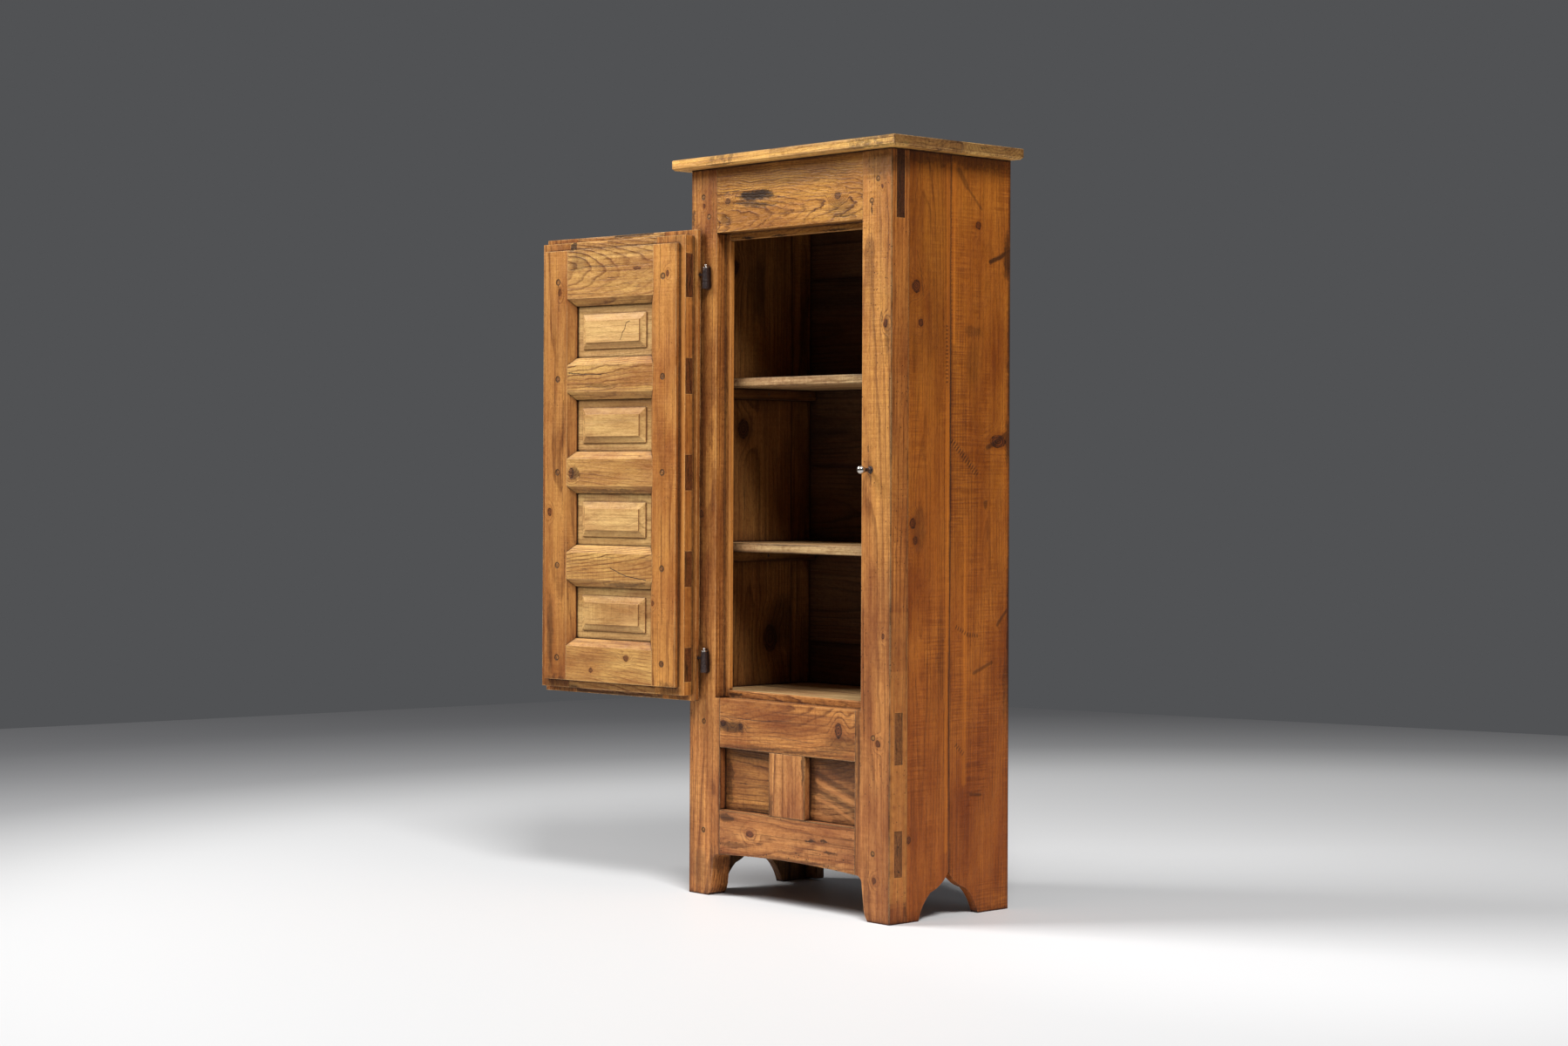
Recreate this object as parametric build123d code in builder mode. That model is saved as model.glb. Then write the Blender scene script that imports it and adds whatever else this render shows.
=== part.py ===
from build123d import *
import math
import os

# Trastero cabinet: a narrow pine cupboard with one framed door of raised panels.
# Millimetres. +Z is up and the front looks along -Y. The sizes below are laid out from
# the floor under the middle of the carcass; the finished pieces are then moved so that
# the origin is the middle of the front left foot's sole.

# ---------------------------------------------------------------- driving sizes
# carcass
body_width = 682.0
body_depth = 384.0
total_height = 1750.0
side_thickness = 22.0
back_thickness = 13.0

# top planks
top_thickness = 25.0
top_front_overhang = 30.0
top_side_overhang = 37.0
top_back_overhang = 4.0
top_front_plank = 186.0
top_edge_round = 3.0
top_under_chamfer = 5.0

# front frame
post_width = 111.0
post_thickness = 54.0
post_arris = 2.0
rail_thickness = 40.0
frame_tenon_thickness = 25.0
rebate_width = 18.0
rebate_depth = 28.0
post_back_chamfer = 30.0
bottom_rail_low = 100.0
bottom_rail_height = 107.0
bottom_rail_rise = 8.0
lower_opening_height = 147.0
middle_rail_height = 116.0
top_rail_height = 154.0
muntin_width = 121.0
muntin_shift = 3.0

# flat panels of the lower frame
flat_panel_thickness = 12.0
flat_panel_recess = 19.0
flat_groove_depth = 10.0
flat_panel_bite = 9.0

# feet and side arches
foot_width = 69.0
foot_neck_width = 82.0
foot_shoulder_width = 88.0
foot_neck_height = 34.0
foot_shoulder_height = 80.0
foot_knee_reach = 17.0
foot_knee_drop = 4.5
foot_ankle_reach = 4.0
foot_ankle_height = 15.0
arch_centre = 188.0
arch_half_span = 96.0
arch_height = 102.0
arch_shin_span = 79.0
arch_shin_height = 37.0
arch_shoulder_span = 57.0
arch_shoulder_height = 61.0
arch_neck_span = 24.0
arch_neck_height = 77.0

# side planks: tongues in the posts, and the widths of the front planks
side_tongue_thickness = 8.0
side_tongue_length = 10.0
left_front_plank = 254.0
right_front_plank = 134.0

# back planks, butted, from the lowest up: shares of the back's height, the topmost takes the rest
back_low = 110.0
back_plank_shares = (0.162, 0.134, 0.135, 0.132, 0.127, 0.159)
back_rebate_width = 12.0

# floor, shelves and their cleats
floor_drop = 2.0
floor_thickness = 20.0
floor_front_plank = 165.0
shelf_thickness = 21.0
shelf_setback = 2.0
lower_shelf_rise = 350.0
upper_shelf_rise = 392.0
cleat_width = 22.0
cleat_height = 25.0

# blocks inside the rear feet
foot_block_width = 42.0
foot_block_thickness = 24.0
foot_block_clearance = 4.0

# nails and pegs
nail_head = 6.0
nail_head_thickness = 1.2
nail_shank = 3.0
nail_bite = 14.0
top_rail_nail_x = 95.0
top_joint_nail_front = 25.0
top_joint_nail_rear = 40.0
top_rear_nail_inset = 40.0
cleat_nail_front_inset = 40.0
cleat_nail_rear_inset = 20.0
back_nail_inset = 45.0
frame_peg = 9.0
door_peg = 11.0

# door
door_overlap = 10.0
door_lip_thickness = 12.0
door_lip_gap = 0.5
door_rebate_gap = 3.0
door_inner_gap = 4.0
door_plug_gap = 1.5
door_back_gap = 2.0
door_stile_width = 128.0
door_top_rail_height = 170.0
door_middle_rail_height = 102.0
door_bottom_rail_height = 135.0
door_panel_count = 4
door_tenon_thickness = 24.0
door_top_tenon_drop = 57.0
door_bottom_tenon_rise = 46.0
bevel_width = 18.0
bevel_depth = 15.0

# raised panels
panel_tongue_thickness = 10.0
panel_groove_depth = 9.0
panel_tongue_bite = 8.0
panel_margin = 21.0
panel_wall = 3.0
panel_slope_width = 16.0
panel_slope_rise = 6.0
panel_step = 3.0

# hinges
open_angle = 174.5
hinge_offset = 29.5
hinge_standoff = 9.0
barrel_radius = 7.5
barrel_edge = 0.8
pin_radius = 4.0
pin_clearance = 0.05
pin_length = 30.0
pin_end_room = 1.0
frame_knuckle_height = 15.0
door_knuckle_height = 37.0
knuckle_gap = 0.4
finial_neck_radius = 2.6
finial_radius = 3.4
finial_height = 6.5
spike_side = 5.0
frame_spike_depth = 32.0
door_spike_depth = 34.0
spike_point = 6.0
upper_hinge_drop = 131.5
lower_hinge_rise = 58.5

# turn latch
latch_height = 1010.0
latch_offset = 27.5
knob_radius = 9.5
knob_reach = 29.0
neck_radius = 5.5
neck_waist_radius = 3.4
spindle_side = 6.0
spindle_gap = 0.3
rosette_radius = 8.0
rosette_thickness = 2.5
rosette_gap = 0.3
tongue_length = 45.0
tongue_width = 12.0
tongue_thickness = 4.0
tongue_setback = 12.0
tongue_gap = 1.0
spindle_tail = 8.0

# ---------------------------------------------------------------- derived places
half_width = body_width / 2
y_front = -body_depth / 2
y_back = body_depth / 2
body_top = total_height - top_thickness
sole_x = foot_width / 2 - half_width
sole_y = y_front + post_thickness / 2
x_post = half_width - post_width
x_rebate = x_post + rebate_width
x_inside = half_width - side_thickness
y_rebate = y_front + rebate_depth
y_rail_back = y_front + rail_thickness
y_post_back = y_front + post_thickness
y_tenon = y_rail_back - frame_tenon_thickness
y_inside = y_back - back_thickness

bottom_rail_top = bottom_rail_low + bottom_rail_height
middle_rail_low = bottom_rail_top + lower_opening_height
middle_rail_top = middle_rail_low + middle_rail_height
opening_top = body_top - top_rail_height
lip_low = middle_rail_top + rebate_width
lip_high = opening_top - rebate_width

floor_top = lip_low - floor_drop
lower_shelf_top = floor_top + lower_shelf_rise
upper_shelf_top = lower_shelf_top + upper_shelf_rise

muntin_left = muntin_shift - muntin_width / 2
muntin_right = muntin_shift + muntin_width / 2
y_panel_front = y_front + flat_panel_recess
y_panel_back = y_panel_front + flat_panel_thickness

# door, as it stands when shut: three layers, each smaller than the one in front of it
y_lip_back = y_front - door_lip_gap
y_lip_front = y_lip_back - door_lip_thickness
y_plug_back = y_rebate - door_plug_gap
y_door_back = y_rail_back - door_back_gap
y_door_middle = (y_door_back + y_lip_front) / 2
x_lip = x_rebate + door_overlap
x_plug = x_rebate - door_rebate_gap
x_inner = x_post - door_inner_gap
x_panel = x_lip - door_stile_width
x_bevel = x_panel + bevel_width
door_low = middle_rail_top - door_overlap
door_high = opening_top + door_overlap
plug_low = middle_rail_top + door_rebate_gap
plug_high = opening_top - door_rebate_gap
inner_low = lip_low + door_inner_gap
inner_high = lip_high - door_inner_gap
panels_low = door_low + door_bottom_rail_height
panels_high = door_high - door_top_rail_height
middle_rails_height = (door_panel_count - 1) * door_middle_rail_height
panel_opening = (panels_high - panels_low - middle_rails_height) / door_panel_count
panel_pitch = panel_opening + door_middle_rail_height
panel_lows = [panels_low + i * panel_pitch for i in range(door_panel_count)]

hinge_x = -x_rebate - hinge_offset
hinge_y = y_front - hinge_standoff
hinge_line = Axis((hinge_x, hinge_y, 0), (0, 0, 1))
hinge_lows = {
    "upper": opening_top - upper_hinge_drop,
    "lower": middle_rail_top + lower_hinge_rise,
}
latch_x = x_rebate + latch_offset
spindle_bore_radius = spindle_side / math.sqrt(2) + spindle_gap
y_tongue = y_front + tongue_setback

os.makedirs("parts", exist_ok=True)


# ---------------------------------------------------------------- shared helpers
def front(y):
    """The plane facing the front at depth y; its sketch axes are X and Z."""
    return Plane.XZ.offset(-y)


def rectangle(left, right, low, high, mode=Mode.ADD):
    """A rectangle given by its sides, in the open sketch."""
    with Locations(((left + right) / 2, (low + high) / 2)):
        Rectangle(right - left, high - low, mode=mode)


def facing(left, right, low, high, y_near, y_far, mode=Mode.ADD):
    """A length of squared timber: its front outline, and its depth from y_near to y_far."""
    with BuildSketch(front(y_far)) as outline:
        rectangle(left, right, low, high)
    extrude(outline.sketch, amount=y_far - y_near, mode=mode)


def export(builder, label, swung=False):
    """Name a finished piece and write it. Door pieces are turned to where the open door stands."""
    piece = builder.part.rotate(hinge_line, -open_angle) if swung else builder.part
    piece = piece.moved(Location((-sole_x, -sole_y, 0)))
    piece.label = label
    export_step(piece, f"parts/{label}.step")


def nails(planes, length, mode=Mode.ADD):
    """Square-cut nails driven flush at the planes, whose normals point out of the wood."""
    with BuildSketch(*planes) as heads:
        Rectangle(nail_head, nail_head)
    extrude(heads.sketch, amount=-nail_head_thickness, mode=mode)
    with BuildSketch(*planes) as shanks:
        Rectangle(nail_shank, nail_shank)
    extrude(shanks.sketch, amount=-length, mode=mode)


def pegs(places, size, y_near, y_far, mode=Mode.ADD):
    """Whittled eight-sided pegs that run from front to back at the (x, z) places."""
    with BuildSketch(front(y_far)) as outlines:
        with Locations(*places):
            RegularPolygon(size / 2, 8, major_radius=False, rotation=22.5)
    extrude(outlines.sketch, amount=y_far - y_near, mode=mode)


# ---------------------------------------------------------------- fixings
frame_peg_places = [
    (side * (x_rebate + inset), z)
    for side in (-1, 1)
    for inset, z in (
        (49.0, opening_top + top_rail_height * 0.57),
        (29.0, opening_top + top_rail_height * 0.26),
        (40.0, middle_rail_low + middle_rail_height / 2),
        (40.0, bottom_rail_low + bottom_rail_height / 2),
    )
]
door_tenon_spans = [(door_low + door_bottom_tenon_rise, panels_low - panel_groove_depth)]
for low in panel_lows[1:]:
    rail_low = low - door_middle_rail_height
    door_tenon_spans.append((rail_low + panel_groove_depth, low - panel_groove_depth))
door_tenon_spans.append((panels_high + panel_groove_depth, door_high - door_top_tenon_drop))
door_peg_x = x_bevel + 33.0
door_peg_places = [(side * door_peg_x, sum(span) / 2) for side in (-1, 1) for span in door_tenon_spans]

cleat_span = (y_post_back + shelf_setback, y_inside)
cleat_tops = {
    "shelf_cleat_upper": upper_shelf_top - shelf_thickness,
    "shelf_cleat_lower": lower_shelf_top - shelf_thickness,
    "floor_cleat": floor_top - floor_thickness,
}
cleat_nail_rows = [
    y_post_back + cleat_nail_front_inset,
    sum(cleat_span) / 2,
    y_inside - cleat_nail_rear_inset,
]


def cleat_nail_planes(side):
    """Nails through the cleats of one side, each plane facing the middle of the cabinet."""
    x_face = side * (x_inside - cleat_width)
    return [
        Plane(origin=(x_face, y, top - cleat_height / 2), x_dir=(0, 1, 0), z_dir=(-side, 0, 0))
        for top in cleat_tops.values()
        for y in cleat_nail_rows
    ]


back_edges = [back_low]
for share in back_plank_shares:
    back_edges.append(back_edges[-1] + share * (body_top - back_low))
back_edges.append(body_top)
back_nail_x = x_inside + back_rebate_width / 2


def back_nail_planes(side):
    """Two nails in each end of each back plank, facing the wall."""
    return [
        Plane(origin=(side * back_nail_x, y_back, z), x_dir=(1, 0, 0), z_dir=(0, 1, 0))
        for low, high in zip(back_edges[:-1], back_edges[1:])
        for z in (low + back_nail_inset, high - back_nail_inset)
    ]


top_joint = y_front + top_front_plank
x_side_middle = half_width - side_thickness / 2
top_nail_places = [
    (half_width - post_width / 2, y_front + rail_thickness / 2),
    (top_rail_nail_x, y_front + rail_thickness / 2),
    (x_side_middle, top_joint - top_joint_nail_front),
    (x_side_middle, top_joint + top_joint_nail_rear),
    (x_side_middle, y_back - top_rear_nail_inset),
]
top_nail_planes = [
    Plane(origin=(side * x, y, total_height), x_dir=(1, 0, 0), z_dir=(0, 0, 1))
    for side in (-1, 1)
    for x, y in top_nail_places
]
top_nail_length = top_thickness + nail_bite
cleat_nail_length = cleat_width + nail_bite
back_nail_length = back_thickness + nail_bite


# ---------------------------------------------------------------- front posts
def foot_cut(side):
    """Saw off a post's inner side below the bottom rail to leave the foot."""
    x_edge = side * x_post
    x_shoulder = side * (half_width - foot_shoulder_width)
    x_neck = side * (half_width - foot_neck_width)
    x_toe = side * (half_width - foot_width)
    x_knee = x_edge + side * foot_knee_reach
    x_ankle = x_neck + side * foot_ankle_reach
    with BuildSketch(front(y_post_back)) as waste:
        with BuildLine():
            Polyline((x_toe, 0), (x_edge, 0), (x_edge, bottom_rail_low))
            ThreePointArc(
                (x_edge, bottom_rail_low),
                (x_knee, bottom_rail_low - foot_knee_drop),
                (x_shoulder, foot_shoulder_height),
            )
            Line((x_shoulder, foot_shoulder_height), (x_neck, foot_neck_height))
            ThreePointArc((x_neck, foot_neck_height), (x_ankle, foot_ankle_height), (x_toe, 0))
        make_face()
    extrude(waste.sketch, amount=post_thickness, mode=Mode.SUBTRACT)


def post(side):
    """A front post: rebated for the door, mortised for the rails, sawn to a foot."""
    inner = side * x_post
    outer = side * half_width
    left, right = sorted((inner, outer))
    rebate_left, rebate_right = sorted((inner, side * x_rebate))
    with BuildPart() as builder:
        facing(left, right, 0, body_top, y_front, y_post_back)
        chamfer(
            builder.edges().filter_by(Axis.Z).sort_by(lambda e: (abs(e.center().X) * -1, e.center().Y))[0],
            length=post_arris,
        )
        # the door's rebate, and the notch for the top rail's longer shoulder
        facing(rebate_left, rebate_right, middle_rail_top, opening_top, y_front, y_rebate, Mode.SUBTRACT)
        facing(rebate_left, rebate_right, opening_top, body_top, y_front, y_rail_back, Mode.SUBTRACT)
        # hewn-back inner arris behind the lip
        with BuildSketch(Plane.XY.offset(floor_top)):
            with BuildLine():
                Polyline(
                    (inner, y_rail_back),
                    (inner, y_post_back),
                    (inner + side * post_back_chamfer, y_post_back),
                    close=True,
                )
            make_face()
        extrude(amount=opening_top - floor_top, mode=Mode.SUBTRACT)
        # through mortises
        for low, high in (
            (bottom_rail_low + bottom_rail_rise / 2, bottom_rail_top),
            (middle_rail_low, middle_rail_top),
            (opening_top, body_top),
        ):
            facing(left, right, low, high, y_tenon, y_rail_back, Mode.SUBTRACT)
        # groove for the flat panel
        groove = sorted((inner, inner + side * flat_groove_depth))
        facing(*groove, bottom_rail_top, middle_rail_low, y_panel_front, y_panel_back, Mode.SUBTRACT)
        # groove for the side planks' tongue
        x_tongue = side * x_side_middle
        half_tongue = side_tongue_thickness / 2
        tongue = (x_tongue - half_tongue, x_tongue + half_tongue)
        facing(*tongue, arch_height, body_top, y_post_back - side_tongue_length, y_post_back, Mode.SUBTRACT)
        foot_cut(side)
        pegs([p for p in frame_peg_places if p[0] * side > 0], frame_peg, y_front, y_post_back, Mode.SUBTRACT)
        nails(top_nail_planes, top_nail_length, Mode.SUBTRACT)
        if side < 0:
            for low in hinge_lows.values():
                frame_spike(low, Mode.SUBTRACT)
        else:
            tongue_room()
            spindle_bore()
    return builder


def frame_spike(low, mode):
    """The square spike that carries a hinge's frame half, driven into the post."""
    z = low + frame_knuckle_height / 2
    half = spike_side / 2
    with BuildSketch(Plane.YZ.offset(hinge_x - half)) as outline:
        with BuildLine():
            Polyline(
                (hinge_y, z - half),
                (y_front + frame_spike_depth - spike_point, z - half),
                (y_front + frame_spike_depth, z),
                (y_front + frame_spike_depth - spike_point, z + half),
                (hinge_y, z + half),
                close=True,
            )
        make_face()
    extrude(outline.sketch, amount=spike_side, mode=mode)


def tongue_room():
    """Clear the quarter turn that the latch's tongue sweeps, from upright to level."""
    reach = tongue_length + tongue_gap
    half = tongue_width / 2 + tongue_gap
    with BuildSketch(front(y_tongue + tongue_thickness + tongue_gap)) as sweep:
        with Locations((latch_x, latch_height)):
            Circle(reach)
        rectangle(latch_x + half, latch_x + reach, latch_height - reach, latch_height + reach, Mode.SUBTRACT)
        rectangle(latch_x - reach, latch_x + half, latch_height - reach, latch_height - half, Mode.SUBTRACT)
    extrude(sweep.sketch, amount=tongue_thickness + 2 * tongue_gap, mode=Mode.SUBTRACT)


def spindle_bore():
    """Bore for the latch's spindle, from the post's face to past the spindle's end."""
    y_end = y_tongue + tongue_thickness + spindle_tail + tongue_gap
    with BuildSketch(front(y_end)) as bore:
        with Locations((latch_x, latch_height)):
            Circle(spindle_bore_radius)
    extrude(bore.sketch, amount=y_end - y_front, mode=Mode.SUBTRACT)


front_post_left = post(-1)
export(front_post_left, "front_post_left")
front_post_right = post(1)
export(front_post_right, "front_post_right")

# ---------------------------------------------------------------- rails and muntin
with BuildPart() as top_rail:
    facing(-x_rebate, x_rebate, opening_top, body_top, y_front, y_rail_back)
    facing(-x_post, x_post, lip_high, opening_top, y_rebate, y_rail_back)
    facing(-half_width, half_width, opening_top, body_top, y_tenon, y_rail_back)
    pegs(frame_peg_places, frame_peg, y_front, y_post_back, Mode.SUBTRACT)
    nails(top_nail_planes, top_nail_length, Mode.SUBTRACT)
export(top_rail, "top_rail")

with BuildPart() as middle_rail:
    facing(-x_post, x_post, middle_rail_low, lip_low, y_front, y_rail_back)
    facing(-x_post, x_post, middle_rail_top, lip_low, y_front, y_rebate, Mode.SUBTRACT)
    facing(-half_width, half_width, middle_rail_low, middle_rail_top, y_tenon, y_rail_back)
    facing(
        -x_post, x_post, middle_rail_low, middle_rail_low + flat_groove_depth,
        y_panel_front, y_panel_back, Mode.SUBTRACT,
    )
    pegs(frame_peg_places, frame_peg, y_front, y_post_back, Mode.SUBTRACT)
export(middle_rail, "middle_rail")

with BuildPart() as bottom_rail:
    with BuildSketch(front(y_rail_back)):
        with BuildLine():
            Polyline((-x_post, bottom_rail_low), (-x_post, bottom_rail_top), (x_post, bottom_rail_top),
                     (x_post, bottom_rail_low))
            ThreePointArc((x_post, bottom_rail_low), (0, bottom_rail_low + bottom_rail_rise),
                          (-x_post, bottom_rail_low))
        make_face()
    extrude(amount=rail_thickness)
    for side in (-1, 1):
        shoulder, end = sorted((side * x_post, side * half_width))
        facing(shoulder, end, bottom_rail_low + bottom_rail_rise / 2, bottom_rail_top, y_tenon, y_rail_back)
    facing(
        -x_post, x_post, bottom_rail_top - flat_groove_depth, bottom_rail_top,
        y_panel_front, y_panel_back, Mode.SUBTRACT,
    )
    pegs(frame_peg_places, frame_peg, y_front, y_post_back, Mode.SUBTRACT)
export(bottom_rail, "bottom_rail")

with BuildPart() as lower_muntin:
    facing(muntin_left, muntin_right, bottom_rail_top, middle_rail_low, y_front, y_rail_back)
    facing(
        muntin_left + flat_groove_depth, muntin_right - flat_groove_depth,
        bottom_rail_top - flat_groove_depth, middle_rail_low + flat_groove_depth, y_panel_front, y_panel_back,
    )
    for left in (muntin_left, muntin_right - flat_groove_depth):
        facing(left, left + flat_groove_depth, bottom_rail_top, middle_rail_low, y_panel_front, y_panel_back,
               Mode.SUBTRACT)
export(lower_muntin, "lower_muntin")


def flat_panel(left, right):
    """A flat panel: its edges sit in the frame's grooves, its corners are notched."""
    with BuildPart() as builder:
        with BuildSketch(front(y_panel_back)):
            rectangle(left, right, bottom_rail_top - flat_panel_bite, middle_rail_low + flat_panel_bite)
            rectangle(left - flat_panel_bite, right + flat_panel_bite, bottom_rail_top, middle_rail_low)
        extrude(amount=flat_panel_thickness)
    return builder


lower_panel_left = flat_panel(-x_post, muntin_left)
export(lower_panel_left, "lower_panel_left")
lower_panel_right = flat_panel(muntin_right, x_post)
export(lower_panel_right, "lower_panel_right")


# ---------------------------------------------------------------- sides
def ogee_arch(x_low):
    """Saw the arch under a side: two ogee halves that rise to a point."""
    centre = y_front + arch_centre
    with BuildSketch(Plane.YZ.offset(x_low)) as arch:
        with BuildLine():
            for way in (-1, 1):
                foot = (centre + way * arch_half_span, 0)
                shin = (centre + way * arch_shin_span, arch_shin_height)
                shoulder = (centre + way * arch_shoulder_span, arch_shoulder_height)
                neck = (centre + way * arch_neck_span, arch_neck_height)
                ThreePointArc(foot, shin, shoulder)
                ThreePointArc(shoulder, neck, (centre, arch_height))
            Line((centre - arch_half_span, 0), (centre + arch_half_span, 0))
        make_face()
    extrude(arch.sketch, amount=side_thickness, mode=Mode.SUBTRACT)


def side_plank(side, y_near, y_far, tongue):
    """One plank of a side; the front one has the tongue, the rear one the back's rebate."""
    x_low = min(side * x_inside, side * half_width)
    with BuildPart() as builder:
        with BuildSketch(Plane.YZ.offset(x_low)):
            rectangle(y_near, y_far, 0, body_top)
        extrude(amount=side_thickness)
        ogee_arch(x_low)
        if tongue:
            with BuildSketch(Plane.YZ.offset(x_low + (side_thickness - side_tongue_thickness) / 2)):
                rectangle(y_near - side_tongue_length, y_near, arch_height, body_top)
            extrude(amount=side_tongue_thickness)
        back_rebate = sorted((side * x_inside, side * (x_inside + back_rebate_width)))
        facing(*back_rebate, back_low, body_top, y_inside, y_back, Mode.SUBTRACT)
        nails(cleat_nail_planes(side), cleat_nail_length, Mode.SUBTRACT)
        nails(back_nail_planes(side), back_nail_length, Mode.SUBTRACT)
        nails(top_nail_planes, top_nail_length, Mode.SUBTRACT)
    return builder


for name, side, front_plank in (("left", -1, left_front_plank), ("right", 1, right_front_plank)):
    y_joint = y_post_back + front_plank
    export(side_plank(side, y_post_back, y_joint, True), f"side_plank_front_{name}")
    export(side_plank(side, y_joint, y_back, False), f"side_plank_rear_{name}")

# ---------------------------------------------------------------- back
x_back = x_inside + back_rebate_width
for number, (low, high) in enumerate(zip(back_edges[:-1], back_edges[1:]), start=1):
    with BuildPart() as back_plank:
        facing(-x_back, x_back, low, high, y_inside, y_back)
        for side in (-1, 1):
            nails(back_nail_planes(side), back_nail_length, Mode.SUBTRACT)
    export(back_plank, f"back_plank_{number}")

for name, side in (("left", -1), ("right", 1)):
    with BuildPart() as foot_block:
        edges = sorted((side * x_inside, side * (x_inside - foot_block_width)))
        facing(*edges, foot_block_clearance, back_low, y_back - foot_block_thickness, y_back)
        chamfer(foot_block.edges().filter_by(Axis.X).group_by(Axis.Z)[0], length=2.0)
    export(foot_block, f"foot_block_{name}")

# ---------------------------------------------------------------- floor, shelves and cleats
y_floor_joint = y_rail_back + floor_front_plank
with BuildPart() as floor_front:
    with BuildSketch(Plane.XY.offset(floor_top - floor_thickness)):
        rectangle(-x_inside, x_inside, y_post_back, y_floor_joint)
        rectangle(-x_post, x_post, y_rail_back, y_post_back)
    extrude(amount=floor_thickness)
export(floor_front, "floor_board_front")

with BuildPart() as floor_rear:
    with BuildSketch(Plane.XY.offset(floor_top - floor_thickness)):
        rectangle(-x_inside, x_inside, y_floor_joint, y_inside)
    extrude(amount=floor_thickness)
export(floor_rear, "floor_board_rear")

for name, top in (("upper", upper_shelf_top), ("lower", lower_shelf_top)):
    with BuildPart() as shelf:
        with BuildSketch(Plane.XY.offset(top - shelf_thickness)):
            rectangle(-x_inside, x_inside, y_post_back + shelf_setback, y_inside)
        extrude(amount=shelf_thickness)
        chamfer(shelf.edges().filter_by(Axis.X).group_by(Axis.Y)[0], length=1.2)
    export(shelf, f"shelf_{name}")

for name, side in (("left", -1), ("right", 1)):
    for kind, top in cleat_tops.items():
        with BuildPart() as cleat:
            edges = sorted((side * x_inside, side * (x_inside - cleat_width)))
            facing(*edges, top - cleat_height, top, *cleat_span)
            nails(cleat_nail_planes(side), cleat_nail_length, Mode.SUBTRACT)
        export(cleat, f"{kind}_{name}")


# ---------------------------------------------------------------- top
def top_plank(y_near, y_far, y_outer):
    """A plank of the top: rounded above and chamfered below on its ends and its outer edge."""
    x_end = half_width + top_side_overhang
    with BuildPart() as builder:
        with BuildSketch(Plane.XY.offset(body_top)):
            rectangle(-x_end, x_end, y_near, y_far)
        extrude(amount=top_thickness)
        fillet(outer_edges(builder, total_height, y_outer), radius=top_edge_round)
        chamfer(outer_edges(builder, body_top, y_outer), length=top_under_chamfer)
        nails(top_nail_planes, top_nail_length, Mode.SUBTRACT)
    return builder


def outer_edges(builder, level, y_outer):
    """A plank's edges at one level that show from outside: both ends and the outer side."""
    level_edges = builder.edges().filter_by_position(Axis.Z, level, level)
    return level_edges.filter_by(Axis.Y) + level_edges.filter_by_position(Axis.Y, y_outer, y_outer)


y_top_front = y_front - top_front_overhang
y_top_rear = y_back + top_back_overhang
export(top_plank(y_top_front, top_joint, y_top_front), "top_plank_front")
export(top_plank(top_joint, y_top_rear, y_top_rear), "top_plank_rear")

# ---------------------------------------------------------------- carcass fixings
with BuildPart() as frame_pegs:
    pegs(frame_peg_places, frame_peg, y_front, y_post_back)
export(frame_pegs, "frame_pegs")

with BuildPart() as cleat_nails:
    for side in (-1, 1):
        nails(cleat_nail_planes(side), cleat_nail_length)
export(cleat_nails, "cleat_nails")

with BuildPart() as back_nails:
    for side in (-1, 1):
        nails(back_nail_planes(side), back_nail_length)
export(back_nails, "back_nails")

with BuildPart() as top_nails:
    nails(top_nail_planes, top_nail_length)
export(top_nails, "top_nails")


# ---------------------------------------------------------------- door frame
def step_cuts():
    """Step the door's outline: a lip laps the posts, a plug fills the rebate, the rest its mouth."""
    steps = (
        (x_plug, plug_low, plug_high, y_lip_back),
        (x_inner, inner_low, inner_high, y_plug_back),
    )
    for x_edge, low, high, y_near in steps:
        with BuildSketch(front(y_door_back)) as waste:
            rectangle(-x_lip, x_lip, door_low, door_high)
            rectangle(-x_edge, x_edge, low, high, Mode.SUBTRACT)
        extrude(waste.sketch, amount=y_door_back - y_near, mode=Mode.SUBTRACT)


def bevel_cuts():
    """Bevel the frame round every panel opening, on both faces, mitred at the corners."""
    faces = ((y_door_back, y_door_back - bevel_depth), (y_lip_front, y_lip_front + bevel_depth))
    for low in panel_lows:
        high = low + panel_opening
        for y_face, y_deep in faces:
            with BuildSketch(front(y_face)) as mouth:
                rectangle(-x_bevel, x_bevel, low - bevel_width, high + bevel_width)
            with BuildSketch(front(y_deep)) as throat:
                rectangle(-x_panel, x_panel, low, high)
            loft([mouth.sketch, throat.sketch], mode=Mode.SUBTRACT)


def groove_cuts():
    """Plough the groove that holds the raised panels."""
    half = panel_tongue_thickness / 2
    for low in panel_lows:
        facing(
            -x_panel - panel_groove_depth, x_panel + panel_groove_depth,
            low - panel_groove_depth, low + panel_opening + panel_groove_depth,
            y_door_middle - half, y_door_middle + half, Mode.SUBTRACT,
        )


def rail_cheeks(low, high, mode):
    """The parts of a rail that lap the stiles on both faces, mitred where the bevels meet."""
    lower = [(-x_panel, low), (x_panel, low), (x_bevel, low + bevel_width)]
    upper = [(x_bevel, high - bevel_width), (x_panel, high), (-x_panel, high), (-x_bevel, high - bevel_width)]
    if low == door_low:
        lower = [(-x_bevel, low), (x_bevel, low)]
    else:
        upper.append((-x_bevel, low + bevel_width))
    if high == door_high:
        upper = [(x_bevel, high), (-x_bevel, high), (-x_bevel, low + bevel_width)]
    for y_far in (y_door_back, y_lip_front + bevel_depth):
        with BuildSketch(front(y_far)) as outline:
            with BuildLine():
                Polyline(*lower, *upper, close=True)
            make_face()
        extrude(outline.sketch, amount=bevel_depth, mode=mode)


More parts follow.
